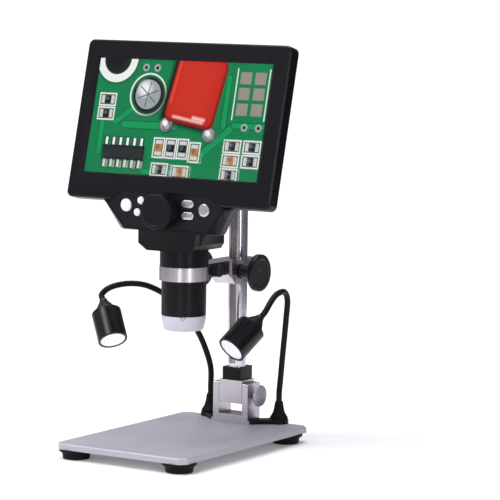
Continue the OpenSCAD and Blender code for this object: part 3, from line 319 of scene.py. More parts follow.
def rubber(name, colour, roughness):
    # soft and dull, with a dusty bloom in places
    f = Finish(name, "rubber", Specular_IOR_Level=0.15)
    cloud = f.noise(90, 4)
    fine = f.noise(3400, 3)
    f.feed("Base Color", f.between(cloud, rgb(colour, 0.8), rgb(colour, 1.5)))
    f.feed("Roughness", roughness + (cloud - 0.5) * 0.12 + fine * 0.04)
    f.relief(fine, 0.02 * mm)
    return f


def turnedBlack(name, slotName, colour, roughness, pitch=0.16):
    # black anodised barrel: faint turning lines, pitch mm apart, round a vertical axis
    f = Finish(name, slotName, Specular_IOR_Level=0.2)
    z = f.parts()[2]
    wander = f.noise(60, 2)
    lines = (z * (2 * math.pi / (pitch * mm)) + wander * 2).sine() * 0.5 + 0.5
    f.feed("Base Color", f.between(wander, rgb(colour, 0.8), rgb(colour, 1.25)))
    f.feed("Roughness", roughness + lines * 0.05 + (wander - 0.5) * 0.08)
    f.relief(lines, 0.003 * mm, 0.6)
    return f


def clearGlass(name):
    f = Finish(name, "glass", Transmission_Weight=1.0, IOR=1.22)     # low, for its coat against glare
    smear = f.noise(30, 3)
    f.feed("Base Color", f.between(smear, (0.97, 0.98, 0.99, 1), (1, 1, 1, 1)))
    f.feed("Roughness", (smear - 0.5).above(0) * 0.04)
    return f


def lampDiffuser():
    # frosted lens over the LED, lit from behind a little unevenly
    f = Finish("lampDiffuser", "lamp_glass", Emission_Strength=0.55)
    cloud = f.noise(420, 2)
    f.feed("Base Color", f.between(cloud, rgb("8d8f98"), rgb("f8f9ff")))
    f.feed("Emission Color", f.between(cloud, rgb("c3c6d2"), rgb("ffffff")))
    f.feed("Roughness", 0.2 + cloud * 0.2)
    return f


def circuitBoard(rate=2400, slant=700, share=0.35):
    # green board with blots of track, about 2.6 mm apart
    f = Finish("circuitBoard", "board", Specular_IOR_Level=0.6)
    x, y, z = f.parts()
    tracks = (x * rate).sine() * (y * rate + z * slant).sine() > share
    cloud = f.noise(120, 2)
    f.feed("Base Color", f.between(tracks, rgb("15512d"), rgb("2a7d49")))
    f.feed("Roughness", 0.35 + cloud * 0.15)
    return f


def batteryWrap():
    # shrunk blue film
    f = Finish("batteryWrap", "battery", Coat_Weight=0.4)
    cloud = f.noise(50, 3)
    f.feed("Base Color", f.between(cloud, rgb("2f5f9c"), rgb("4a7fc0")))
    f.feed("Roughness", 0.3 + cloud * 0.15)
    return f


moulded = plastic("mouldedShell", "moulding", "0c0b11", 0.33, gloss=0.2)
panelFace = plastic("panelFace", "black_plastic", "15151a", 0.33, gloss=0.24)
wheelBlack = plastic("wheelBlack", "black_plastic", "0c0b10", 0.44, gloss=0.2)
knobBlack = plastic("knobBlack", "black_plastic", "17171c", 0.34, gloss=0.34)
collarBlack = plastic("collarGloss", "black_gloss", "040405", 0.2, grain=0.003, gloss=0.16)
cupBlack = plastic("cupBlack", "black_plastic", "0a0a0f", 0.27, grain=0.006, gloss=0.32)
barBlack = plastic("barBlack", "black_plastic", "0c0c11", 0.42, gloss=0.2)
whiteButton = plastic("whiteButton", "white", "f1f1f4", 0.32, grain=0.004, tint=0.02, coat=0.2)
silverButton = brushedMetal("silverButton", "silvery", "c2c2cc", 2, 0.2, metallic=0.75, depth=0.08)
tipSilver = plastic("tipSilver", "tip", "c9c9d4", 0.42, grain=0.008, tint=0.03)
barrelBlack = turnedBlack("barrelBlack", "barrel", "08070c", 0.3)
aluminium = brushedMetal("brushedAluminium", "aluminium", "cfcad0", 2, 0.24, wide=90.0, depth=0.42)
bracketMetal = brushedMetal("brushedBracket", "aluminium", "c6c2c9", 2, 0.32, metallic=0.9, wide=30.0,
                            depth=0.16)
steel = brushedMetal("brightSteel", "steel", "b9b9bf", 2, 0.25)
brass = brushedMetal("turnedBrass", "brass", "c8a24a", 0, 0.28)
plateGrey = paintedPlate()
tube = polishedTube()
rackSteel = cutSteel()
softRubber = rubber("rubber", "0c0c0e", 0.6)
sleeve = rubber("neckSleeve", "0f0f12", 0.42)
glass = clearGlass("coverGlass")
diffuser = lampDiffuser()
board = circuitBoard()
wrap = batteryWrap()
innerLens = clearGlass("objectiveGlass")
ledWhite = plastic("ledBoard", "white", "e8e8e0", 0.5, tint=0.03)
print("finishes are mixed:", len(bpy.data.materials))


# ---- mesh kit ----

def onAxis(place, direction):
    # a frame whose Z runs along direction from place, its X level
    z = Vector(direction).normalized()
    x = Vector((0, 0, 1)).cross(z)
    if x.length < 1e-6:
        x = Vector((1, 0, 0))
    x.normalize()
    y = z.cross(x)
    turn = Matrix((x, y, z)).transposed().to_4x4()
    return Matrix.Translation(Vector(place) * mm) @ turn


def upAt(x, y, z=0):
    # the same on an upright axis
    return onAxis((x, y, z), (0, 0, 1))


def eased(profile, closed, steps=5):
    # each point (r, z, radius) that has a radius becomes a small rounded corner
    points = []
    count = len(profile)
    for i, point in enumerate(profile):
        corner = Vector(point[:2])
        radius = point[2] if len(point) > 2 else 0
        inner = closed or 0 < i < count - 1
        if radius <= 0 or not inner:
            points.append(corner)
            continue
        before = Vector(profile[i - 1][:2]) - corner
        after = Vector(profile[(i + 1) % count][:2]) - corner
        turn = math.pi - before.angle(after)
        reach = radius * math.tan(turn / 2)
        reach = min(reach, before.length * 0.49, after.length * 0.49)
        start = corner + before.normalized() * reach
        end = corner + after.normalized() * reach
        for k in range(steps + 1):
            t = k / steps
            points.append(start.lerp(corner, t).lerp(corner.lerp(end, t), t))
    return points


def rippled(r, margin, count, depth, blunt):
    # a shape for turned: grooves round whatever lies within margin of the radius r
    def shape(at, angle):
        if at < r - margin:
            return at
        wave = 0.5 + 0.5 * math.cos(angle * count)
        return at - depth * (1 - wave ** blunt)
    return shape


def turned(bm, profile, where, segments, closed, shape):
    # revolves a profile in millimetres round the Z of where; shape(r, angle) may ripple it
    points = eased(profile, closed)
    rings = []
    for point in points:
        if point.x < 1e-6:
            rings.append([bm.verts.new(where @ Vector((0, 0, point.y * mm)))])
            continue
        ring = []
        for k in range(segments):
            angle = 2 * math.pi * k / segments
            r = shape(point.x, angle) if shape else point.x
            ring.append(bm.verts.new(where @ Vector((r * mm * math.cos(angle),
                                                     r * mm * math.sin(angle), point.y * mm))))
        rings.append(ring)
    for low, high in zip(rings, rings[1:] + rings[:1] if closed else rings[1:]):
        for k in range(segments):
            n = (k + 1) % segments
            if len(low) == 1:
                bm.faces.new((low[0], high[k], high[n]))
            elif len(high) == 1:
                bm.faces.new((low[k], high[0], low[n]))
            else:
                bm.faces.new((low[k], high[k], high[n], low[n]))


def bridge(bm, rings):
    # a skin over rings of equal length, with both ends shut
    count = len(rings[0])
    for a, b in zip(rings, rings[1:]):
        for k in range(count):
            n = (k + 1) % count
            bm.faces.new((a[k], b[k], b[n], a[n]))
    bm.faces.new(rings[0])
    bm.faces.new(rings[-1])


def meshObject(name, bm, finish):
    mesh = bpy.data.meshes.new(name)
    bm.to_mesh(mesh)
    bm.free()
    mesh.materials.append(finish.material)
    made = bpy.data.objects.new(name, mesh)
    scene.collection.objects.link(made)
    return made


def addPiece(name, bm, body, finish, replaced, sharp=32, weighted=True):
    bmesh.ops.recalc_face_normals(bm, faces=bm.faces)
    piece = meshObject(name, bm, finish)
    piece.data.shade_smooth()
    piece.data.set_sharp_from_angle(angle=math.radians(sharp))
    if weighted:
        even = piece.modifiers.new("evenNormals", "WEIGHTED_NORMAL")
        even.keep_sharp = True
        even.weight = 60
    if body:
        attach(piece, body)
    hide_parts(replaced)
    return piece


def turnedPiece(name, profile, places, node, finish, segments=96, closed=False, shape=None):
    # one mesh, turned at each of the places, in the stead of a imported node
    bm = bmesh.new()
    for place in places:
        turned(bm, profile, place, segments, closed, shape)
    addPiece(name, bm, bodyOf(node), finish, node)


edgeBreak = {"angle": 30, "segments": 3, "flat": 0.6}     # degrees; under flat, faces are joined


def softened(node, finish, width):
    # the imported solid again, with its edges broken as on the real piece
    bm = bmesh.new()
    bm.from_mesh(nodes[node].data)
    bmesh.ops.remove_doubles(bm, verts=bm.verts, dist=2e-6)
    bmesh.ops.dissolve_limit(bm, angle_limit=math.radians(edgeBreak["flat"]), verts=bm.verts,
                             edges=bm.edges)
    piece = addPiece(node + "_dressed", bm, bodyOf(node), finish, node, edgeBreak["angle"], False)
    ease = piece.modifiers.new("edgeBreak", "BEVEL")
    ease.width = width * mm
    ease.segments = edgeBreak["segments"]
    ease.limit_method = "ANGLE"
    ease.angle_limit = math.radians(edgeBreak["angle"])
    ease.use_clamp_overlap = True
    ease.harden_normals = True


def dress(finish, *names):
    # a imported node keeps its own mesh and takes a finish
    for name in names:
        slots = nodes[name].data.materials
        slots.clear()
        slots.append(finish.material)


# ---- base plate and feet ----

foot = {"topR": 12.7, "lip": 1.5, "undercut": 0.7, "waistR": 10.8, "waist": 2.6, "bottomR": 9.8,
        "recessR": 5.0, "recess": 3.7, "boreR": 2.05}     # heights are counted down from its top


def addBase():
    softened("base_plate", plateGrey, 0.35)
    low, high = sizeOf("rubber_feet")
    top, bottom = high.z, low.z
    r, boreR, recessR = foot["topR"], foot["boreR"], foot["recessR"]
    lip, waist, recess = top - foot["lip"], top - foot["waist"], top - foot["recess"]
    profile = [
        (boreR, top), (r, top, 0.35), (r, lip, 0.45), (r - foot["undercut"], lip - 0.6, 0.3),
        (foot["waistR"], waist, 0.4), (foot["waistR"] - 0.65, waist - 1.8, 1.2),
        (foot["bottomR"], bottom, 0.9), (recessR, bottom, 0.4), (recessR, recess, 0.2), (boreR, recess),
    ]
    places = [upAt(x, y) for x in (low.x + r, high.x - r) for y in (low.y + r, high.y - r)]
    turnedPiece("moulded_feet", profile, places, "rubber_feet", softRubber, closed=True)
    dress(steel, "foot_screws", "bracket_screws")


addBase()
print("base plate and feet are dressed")


# ---- bracket, block, collar, post ----

cap = {"side": 1.6, "crown": 0.3, "crownIn": 1.2}
tiltKnob = {"ridges": 48, "depth": 0.3, "grip": 0.6, "neckR": 2.7, "neck": 3.4, "dish": 1.5}


def addMast():
    softened("tilt_bracket", bracketMetal, 0.45)
    softened("tilt_block", bracketMetal, 0.5)
    softened("post_collar", collarBlack, 0.6)
    softened("lamp_base", barBlack, 0.4)
    dress(tube, "post")
    dress(rackSteel, "rack")
    low, seat = sizeOf("post")
    middle = upAt((low.x + seat.x) / 2, (low.y + seat.y) / 2)
    low, high = sizeOf("post_cap")
    rim = (high.x - low.x) / 2
    turnedPiece("cap_top",
                [(0, seat.z), (rim, seat.z, 0.2), (rim, seat.z + cap["side"], 0.5),
                 (rim - cap["crownIn"], high.z - cap["crown"], 0.8), (0, high.z)],
                [middle], "post_cap", softRubber)
    dress(steel, "post_grub_screws", "tilt_stud")


def addTiltKnob():
    low, high = sizeOf("tilt_knob")
    knob = tiltKnob
    r, begin, end = (high.y - low.y) / 2, low.x, high.x
    back = begin + knob["neck"]
    face = r - knob["dish"]
    middle = (0, (low.y + high.y) / 2, (low.z + high.z) / 2)
    profile = [(0, begin), (knob["neckR"], begin, 0.2), (knob["neckR"], back), (r - 0.5, back),
               (r, back + 0.5), (r, end - knob["grip"]), (r - knob["grip"], end, 0.2),
               (face + 0.2, end, 0.2), (face, end - 0.25, 0.15), (0, end - 0.3)]
    turnedPiece("tilt_knob_turned", profile, [onAxis(middle, (1, 0, 0))], "tilt_knob",
                facedMetal("facedKnob", "aluminium", "c9c7ce", middle[1:]), segments=knob["ridges"] * 6,
                shape=rippled(r, knob["grip"], knob["ridges"], knob["depth"], 0.6))


addMast()
addTiltKnob()
print("mast is dressed")


# ---- carriage and focus drive ----

focusKnob = {"thick": 4.6, "hubR": 4.5, "hub": 9.5, "rim": 3.4, "dish": 0.7, "pitR": 2.4, "pit": 0.3}
clampKnob = {"ridges": 26, "depth": 0.4, "collar": 1.4, "waist": 1.2, "grip": 2.4}


def addCarriage():
    softened("carriage", aluminium, 0.4)
    dress(knobBlack, "shaft_bushes")
    dress(brass, "pinion")
    dress(steel, "tension_screws", "focus_shaft", "clamp_stud")


def addFocusKnobs():
    low, high = sizeOf("focus_knobs")
    knob = focusKnob
    r, hub, outer = (high.z - low.z) / 2, knob["hub"], high.x
    back, dish = outer - knob["thick"], outer - knob["dish"]
    profile = [(0, hub), (knob["hubR"], hub, 0.3), (knob["hubR"], back, 0.4), (r, back, 1.1),
               (r, outer, 1.3), (r - knob["rim"], outer, 0.4), (r - knob["rim"] - 0.7, dish, 0.3),
               (knob["pitR"], dish, 0.3), (knob["pitR"] - 0.4, dish - knob["pit"], 0.1),
               (0, dish - knob["pit"])]
    middle = (0, (low.y + high.y) / 2, (low.z + high.z) / 2)
    turnedPiece("focus_knobs_turned", profile, [onAxis(middle, (side, 0, 0)) for side in (-1, 1)],
                "focus_knobs", knobBlack)


def addClampKnob():
    low, high = sizeOf("clamp_knob")
    knob = clampKnob
    r, begin, end = (high.y - low.y) / 2, low.x, high.x
    collar, grip, waistR = begin + knob["collar"], begin + knob["grip"], r - knob["waist"]
    profile = [(0, begin), (r - 0.2, begin, 0.2), (r - 0.2, collar, 0.2), (waistR, collar + 0.2, 0.1),
               (waistR, grip), (r - 0.4, grip), (r, grip + 0.5), (r, end - 0.8), (r - 0.8, end, 0.3),
               (0, end - 0.2)]
    middle = (0, (low.y + high.y) / 2, (low.z + high.z) / 2)
    turnedPiece("clamp_knob_turned", profile, [onAxis(middle, (1, 0, 0))], "clamp_knob", knobBlack,
                segments=knob["ridges"] * 6, shape=rippled(r, 0.3, knob["ridges"], knob["depth"], 1))


addCarriage()
addFocusKnobs()
addClampKnob()
print("carriage is dressed")


# ---- barrels and lens tip ----

barrel = {"spigotR": 12.5, "boreR": 10, "liningR": 14, "gap": 0.05, "segments": 128}


def addBarrels():
    low, high = sizeOf("upper_barrel")
    bottom, top = sizeOf("lower_barrel")
    shoulder = sizeOf("front_housing")[0].z - 0.02
    r, spigotR, boreR, liningR = high.x, barrel["spigotR"], barrel["boreR"], barrel["liningR"]
    mouthR, ceiling = top.x + barrel["gap"], top.z + barrel["gap"]
    upper = [(mouthR, low.z), (r, low.z, 0.5), (r, shoulder, 0.5), (spigotR, shoulder),
             (spigotR, high.z, 0.3), (boreR, high.z, 0.2), (boreR, ceiling), (mouthR, ceiling)]
    lower = [(liningR, bottom.z), (top.x, bottom.z, 0.45), (top.x, top.z, 0.2), (liningR, top.z)]
    for node, profile in (("upper_barrel", upper), ("lower_barrel", lower)):
        turnedPiece(node + "_turned", profile, [upAt(0, 0)], node, barrelBlack,
                    segments=barrel["segments"], closed=True)
    softened("lens_tip", tipSilver, 0.3)
    dress(ledWhite, "light_ring")
    dress(steel, "barrel_nut")
    dress(knobBlack, "lens_carrier")
    dress(innerLens, "objective_lens")
    dress(board, "sensor_board")


addBarrels()
print("barrels are dressed")


# ---- screen housing ----

def addHousing():
    softened("front_housing", moulded, 0.5)
    softened("rear_housing", moulded, 0.5)
    softened("control_panel", panelFace, 0.3)
    dress(steel, "housing_screws")
    dress(board, "main_board", "button_board")
    dress(wrap, "battery_pack")
    dress(glass, "screen_glass")


addHousing()
print("housing is dressed")


# ---- buttons and focus wheel ----

def pillOutline(length, width, steps=24):
    # outline of a slot or circle in X and Z, counter-clockwise seen from the front
    half = max(length - width, 0) / 2
    points = []
    for side in (1, -1):
        for k in range(steps + 1):
            angle = math.pi * (k / steps - 0.5) + (0 if side > 0 else math.pi)
            points.append((side * half + width / 2 * math.cos(angle), width / 2 * math.sin(angle)))
    return points


buttons = {
    # name: finish, length, width and height of its dome
    "left_round_button": (whiteButton, 9.4, 9.4, 0.5),
    "right_round_button": (silverButton, 9.4, 9.4, 0.5),
    "upper_small_button": (whiteButton, 5.6, 5.6, 0.45),
    "lower_small_button": (whiteButton, 5.6, 5.6, 0.45),
    "upper_oval_button": (silverButton, 10.4, 5.5, 0.45),
    "lower_oval_button": (silverButton, 10.4, 5.5, 0.45),
}
hiddenStem = 2.4        # the caps leave off this much of a button, inside the housing


def addButton(node, finish, length, width, dome):
    low, high = sizeOf(node)
    cx, cz = (low.x + high.x) / 2, (low.z + high.z) / 2
    front = low.y
    # (inset from the outline, distance behind the front face)
    steps = [(1.9, 0), (1.25, dome * 0.12), (0.7, dome * 0.36), (0.3, dome * 0.7), (0.08, dome * 1.15),
             (0, dome * 1.7), (0, high.y - front - hiddenStem)]
    bm = bmesh.new()
    rings = []
    for inset, depth in steps:
        rings.append([bm.verts.new(Vector((cx + x, front + depth, cz + z)) * mm)
                      for x, z in pillOutline(length - 2 * inset, width - 2 * inset)])
    bridge(bm, rings)
    bmesh.ops.remove_doubles(bm, verts=bm.verts, dist=1e-6)
    addPiece(node + "_cap", bm, bodyOf(node), finish, node)


focusWheel = {"ribs": 60, "depth": 0.45, "tread": 0.9, "shoulder": 1.2, "dish": 3.4}


def addWheel():
    low, high = sizeOf("focus_wheel")
    wheel = focusWheel
    r, begin, end = (high.x - low.x) / 2, -high.y, -low.y
    inner, face = r - wheel["shoulder"], r - wheel["dish"]
    profile = [(0, begin), (inner, begin, 0.2), (inner, begin + 1.0), (r - 0.5, begin + 1.1),
               (r, begin + 1.6), (r, end - 1.7), (r - 0.35, end - 0.9), (inner, end - 0.15, 0.3),
               (face + 0.5, end, 0.4), (face, end - 0.4, 0.3), (0, end - 0.4)]
    middle = ((low.x + high.x) / 2, 0, (low.z + high.z) / 2)
    ribs = rippled(r, wheel["tread"], wheel["ribs"], wheel["depth"], 0.5)
    turnedPiece("focus_wheel_ribbed", profile, [onAxis(middle, (0, -1, 0))], "focus_wheel", wheelBlack,
                segments=wheel["ribs"] * 6, shape=ribs)
    dress(steel, "wheel_shaft")


for node, looks in buttons.items():
    addButton(node, *looks)
addWheel()
print("controls are dressed")


# ---- picture on the display ----

display = {"reach": -12.7, "height": 234.6, "lean": 14}      # the screen's own frame
paint = {       # web colours
    "board": "008a50", "boardDeep": "007545", "etch": "00512f", "copper": "009a58", "silk": "f2f7f3",
    "pad": "9b9189", "hole": "030a07", "shadow": "00301b", "haze": "9fb4a8",
    "chip": "0d0f10", "chipTop": "24282c", "chipMark": "3a3e42",
    "endCap": "d3d6d6", "endShade": "5c6062", "amber": "c0803c",
    "canSide": "11161c", "canTop": "9fa5ac", "canGlow": "f2f4f6", "canScore": "565c62",
    "bore": "1d2023",
    "solder": "a9adb0", "solderEdge": "20292a", "solderRing": "454c4c", "shine": "ffffff",
    "red": "c8200f", "redDeep": "7c0d06", "redMiddle": "d02a18", "redLight": "ee5138", "redShine": "ffd0c6",
}
# places are in millimetres from the picture's middle, across and up
# a track's width, height and angle follow its place
tracks = ((-24, -6, 50, 5, 0), (-66, -6, 4, 46, 0), (36, -15, 34, 5, 42), (62, -3, 30, 4, 0),
          (-6, -40, 40, 4, 0), (40, 14, 4, 40, 0), (-46, 2, 26, 4, 38))
holes = ((-34, 37), (-24, 37), (70, -4), (58, -4))
chip = {"x": -44, "y": -27, "w": 38, "h": 11, "pins": 6, "pitch": 6.2, "pinOut": 2.6}
uprightParts = ((-13, -22, "amber"), (-2.5, -22, "chip"), (8, -22, "chip"), (18.5, -24, "amber"))
flatParts = ((-64, 12, "chip"), (-64, 1.5, "chip"), (50, -18, "chip"), (50, -28.5, "amber"),
             (67, -18, "chip"), (67, -28.5, "chip"), (50, -39, "chip"), (-10, -38, "chip"),
             (8, -39, "amber"))
can = {"x": -29, "y": 17, "r": 13}
screw = {"x": -60, "y": 43, "r": 18}
pads = {"x": 60, "y": 9, "pitch": 12.4, "rows": (0, 11.5, 23), "w": 9.4, "h": 8.8,
        "lines": (46.4, 73.6)}
block = {"x": 13, "y": 21, "w": 44, "h": 52, "turn": -9, "legs": ((-9, -5), (29, -11))}


def addPicture():
    f = Finish("displayPicture", "lcd", Roughness=0.4, Specular_IOR_Level=0.05,
               Emission_Strength=0.95, Base_Color=(0.002, 0.002, 0.003, 1))
    lean = math.radians(display["lean"])
    # millimetres across (u) and up (v) the picture, worked out from the part's own frame
    x, y, z = f.parts()
    u = x / mm
    v = (y / mm - display["reach"]) * math.sin(lean) + (z / mm - display["height"]) * math.cos(lean)

    # boxAt and discAt give the distance to their outline, below zero inside it
    def boxAt(cx, cy, w, h, angle=0, radius=0):
        a, b = u - cx, v - cy
        if angle:
            c, s = math.cos(math.radians(angle)), math.sin(math.radians(angle))
            a, b = a * c + b * s, b * c - a * s
        dx = abs(a) - (w / 2 - radius)
        dy = abs(b) - (h / 2 - radius)
        if not radius:
            return dx.above(dy)
        outside = (dx.above(0) ** 2 + dy.above(0) ** 2) ** 0.5
        return outside + dx.above(dy).below(0) - radius

    def discAt(cx, cy, r):
        return ((u - cx) ** 2 + (v - cy) ** 2) ** 0.5 - r

    grain = f.noise(900, 3)
    slow = f.noise(38, 3)
    colour = f.between(slow, rgb(paint["boardDeep"]), rgb(paint["board"]))

    def lay(distance, name, soft=0.5):
        # a new colour over the last, with an edge soft mm wide
        mask = f.node("Math", {"operation": "MULTIPLY_ADD", "use_clamp": True},
                      {0: distance, 1: -1 / soft, 2: 0.5})
        return f.between(mask, colour, rgb(paint[name]))

    def column(count, cx, cy, pitch, w, h, name):
        # a row of equal pads, worked out as one repeated box
        along, across = u - cx, v - cy
        if count % 2:
            folded = along.maths("WRAP", along, pitch / 2, -pitch / 2)
        else:
            folded = along.maths("WRAP", along, pitch, 0) - pitch / 2
        near = (abs(folded) - w / 2).above(abs(across) - h / 2).above(abs(along) - count * pitch / 2)
        return lay(near, name)

    # wide copper tracks under the green mask, each between two dark etched lines
    for cx, cy, w, h, angle in tracks:
        track = boxAt(cx, cy, w, h, angle, 1.8)
        colour = lay(track - 0.6, "etch")
        colour = lay(track, "copper")
    # plated holes
    for cx, cy in holes:
        colour = lay(discAt(cx, cy, 2.8), "solder")
        colour = lay(discAt(cx, cy, 1.3), "hole")
    # a flat chip with a row of bright pins on each long side
    cx, cy, w, h = (chip[k] for k in "xywh")
    for edge in (-1, 1):
        for wide, tall, name in ((4.4, 7.4, "chip"), (2.2, 6, "silk")):
            row = cy + edge * (h / 2 + chip["pinOut"])
            colour = column(chip["pins"], cx, row, chip["pitch"], wide, tall, name)
    colour = lay(boxAt(cx, cy, w, h, 0, 0.8), "chip")
    colour = lay(boxAt(cx, cy, w - 3, h - 3, 0, 0.6), "chipTop", 2.5)
    colour = lay(discAt(cx - 15, cy - 2.4, 1.3), "chipMark")
    # small resistors and capacitors in their printed boxes; the body is the middle half
    for parts, w, h, bodyW, bodyH in ((uprightParts, 6.2, 11.4, 6.2, 5.7),
                                      (flatParts, 11.4, 6.2, 5.7, 6.2)):
        for cx, cy, name in parts:
            colour = lay(boxAt(cx, cy, w + 2.4, h + 2.4), "chip")
            colour = lay(abs(boxAt(cx, cy, w + 2.6, h + 2.6)) - 0.55, "silk")
            colour = lay(boxAt(cx, cy, w, h, 0, 0.6), "endCap")
            colour = lay(boxAt(cx, cy, bodyW, bodyH, 0, 0.4), name)
            colour = lay(boxAt(cx - 0.8, cy + 0.8, w * 0.3, h * 0.3, 0, 0.4), "endShade", 1.6)
    # a round can seen from above, in its printed ring
    cx, cy, r = (can[k] for k in "xyr")
    colour = lay(abs(discAt(cx, cy, r + 2.4)) - 0.6, "silk")
    colour = lay(discAt(cx + 1.5, cy - 1.5, r + 1), "shadow", 4)
    colour = lay(discAt(cx, cy, r), "canSide")
    colour = lay(discAt(cx, cy, r - 2), "canTop")
    colour = lay(discAt(cx - 3, cy + 4, r - 7.5), "canGlow", 5)
    for angle in (20, 80, 140):
        colour = lay(boxAt(cx, cy, 2 * r - 7, 0.8, angle), "canScore")
    # a mounting hole with its bare ring, cut by the picture's edge
    cx, cy, r = (screw[k] for k in "xyr")
    colour = lay(discAt(cx, cy, r + 1.2), "etch")
    colour = lay(discAt(cx, cy, r), "silk")
    colour = lay(discAt(cx, cy, r - 6), "bore")
    colour = lay(discAt(cx - 1.5, cy - 1, r - 9.5), "hole", 3)
    # bare grey pads between their printed lines
    cx, cy, w, h = (pads[k] for k in "xywh")
    for row in pads["rows"]:
        colour = column(2, cx, cy + row, pads["pitch"], w, h, "pad")
    for line in pads["lines"]:
        colour = lay(boxAt(line, cy + 11, 0.9, 38), "silk")
    # the big dipped capacitor with its two soldered legs
    bx, by, bw, bh, turn = (block[k] for k in ("x", "y", "w", "h", "turn"))
    colour = lay(boxAt(bx - 3, by - 2, bw + 2, bh, turn, 6), "hole", 4)
    for cx, cy in block["legs"]:
        colour = lay(discAt(cx, cy, 6), "solderEdge", 1.2)
        colour = lay(discAt(cx - 0.4, cy + 0.3, 5), "solder", 1.6)
        colour = lay(abs(discAt(cx + 0.4, cy - 0.6, 3.2)) - 0.6, "solderRing", 1.4)
        colour = lay(discAt(cx - 1.4, cy + 1.5, 2.2), "shine", 1.4)
    colour = lay(boxAt(bx, by, bw, bh, turn, 6), "redDeep")
    colour = lay(boxAt(bx - 0.6, by + 0.9, bw - 3, bh - 3, turn, 5), "red", 2.5)
    colour = lay(boxAt(bx - 1.2, by + 1.6, bw - 14, bh - 12, turn, 4), "redMiddle", 9)
    # light on its lower and left edges
    c, s = math.cos(math.radians(turn)), math.sin(math.radians(turn))
    for away, up, w, h, name in ((-1, -21.8, 27, 1.5, "redShine"), (8, -19.6, 11, 2.2, "redShine"),
                                 (-19.6, 3, 1.3, 32, "redLight")):
        colour = lay(boxAt(bx + away * c - up * s, by + away * s + up * c, w, h, turn, 0.6), name, 2)
    # the pictured sensor's own fine noise
    colour = f.between(grain * 0.03, colour, rgb(paint["haze"]))
    f.feed("Emission Color", colour)
    dress(f, "lcd_panel")


addPicture()
print("display shows its picture")


# ---- lamps ----

lamps = {
    "left": {"lens": (-70.5, 10, 63), "tilt": 39, "heading": 145, "boot": (-31, 85),
             "bends": [(-31, 84.7, 36.5), (-33.5, 81.9, 50), (-38.1, 77, 65), (-45.2, 69.5, 80.5),
                       (-54, 60, 92.5), (-65.6, 47.8, 101.3), (-76, 36.8, 103.2), (-85.5, 27.5, 100.5)],
             "follow": 47.8},
    "right": {"lens": (35.4, 10, 65.1), "tilt": 52, "heading": 73, "boot": (31, 85),
              "bends": [(32, 85, 34), (34, 84, 50), (36.2, 83, 66.4), (38.3, 82, 83),
                        (40, 80.4, 95.5), (41.3, 73.2, 102.3), (42.9, 60, 101.6), (44.4, 49.5, 97)],
              "follow": 60},
}
head = {"r": 11.25, "length": 25, "neck": 11, "rim": 1.2, "rootR": 9, "gap": 0.05,
        # its lens sits inside the mouth, slightly domed
        "lensR": 9.3, "lensFront": 0.5, "dome": 0.25, "lensBack": 2.5, "domeSteps": 8}
neck = {"r": 2.3, "wave": 0.05, "pitch": 2.0, "step": 0.5, "sides": 20, "barTop": 3.2,
        # steps between two bends, first as in the solid and then within each of those
        "coarse": 3, "fine": 8,
        # heights over the bar inside the boot, and distances behind the cup's end
        "inBoot": (2, 10, 20), "inCup": (5, 0, -4, -8)}
boot = {"r": 6.8, "edge": 1.5, "gap": 0.15, "lip": 0.6,
        # up its cone: how much narrower, share of the height, rounding
        "cone": ((1.3, 0.26, 0.8), (2.4, 0.42, 0.8), (3.0, 0.62, 0.8), (3.4, 0.8, 0.6))}


def backOf(lamp):
    tilt, heading = math.radians(lamp["tilt"]), math.radians(lamp["heading"])
    return Vector((math.sin(tilt) * math.cos(heading), math.sin(tilt) * math.sin(heading), math.cos(tilt)))


def through(points, steps):
    # a smooth line that passes every point
    line = []
    for i in range(1, len(points) - 2):
        a, b, c, d = points[i - 1:i + 3]
        for k in range(steps):
            t = k / steps
            line.append(0.5 * (2 * b + (c - a) * t + (2 * a - 5 * b + 4 * c - d) * t * t
                               + (3 * b - a - 3 * c + d) * t ** 3))
    return line + [points[-2], points[-1]]


def boxed(point):
    # the sleeve is rounder than its solid, and stays in the solids' box
    return Vector([min(max(c, cadBox[0][k]), cadBox[1][k]) for k, c in enumerate(point)])


def evenly(line, step):
    # the same line with a point at every step along it
    lengths = [0]
    for a, b in zip(line, line[1:]):
        lengths.append(lengths[-1] + (b - a).length)
    even = []
    j = 0
    for k in range(int(lengths[-1] / step) + 1):
        want = k * step
        while lengths[j + 1] < want:
            j += 1
        t = (want - lengths[j]) / (lengths[j + 1] - lengths[j])
        even.append(line[j].lerp(line[j + 1], t))
    return even


def sleeveOf(side):
    lamp = lamps[side]
    x, y = lamp["boot"]
    lens, back = Vector(lamp["lens"]), backOf(lamp)
    total = head["length"] + head["neck"]
    points = [Vector((x, y, neck["barTop"] + z)) for z in neck["inBoot"]]
    points += [Vector(p) for p in lamp["bends"]] + [lens + back * (total + d) for d in neck["inCup"]]
    coarse = through(points, neck["coarse"])
    even = evenly(through([2 * coarse[0] - coarse[1]] + coarse, neck["fine"]), neck["step"])
    bm = bmesh.new()
    across = Vector((1, 0, 0))
    rings = []
    for i, point in enumerate(even):
        along = (even[min(i + 1, len(even) - 1)] - even[max(i - 1, 0)]).normalized()
        across = (across - along * across.dot(along)).normalized()
        up = along.cross(across)
        # the coiled core shows as very shallow waves in the sleeve
        wave = math.cos(2 * math.pi * i * neck["step"] / neck["pitch"])
        r = neck["r"] - neck["wave"] + neck["wave"] * wave
        ring = []
        for k in range(neck["sides"]):
            angle = 2 * math.pi * k / neck["sides"]
            spot = point + r * (math.cos(angle) * across + math.sin(angle) * up)
            ring.append(bm.verts.new(boxed(spot * mm)))
        rings.append(ring)
    bridge(bm, rings)
    piece = addPiece(side + "_sleeve", bm, None, sleeve, side + "_gooseneck", sharp=60, weighted=False)
    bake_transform(piece)


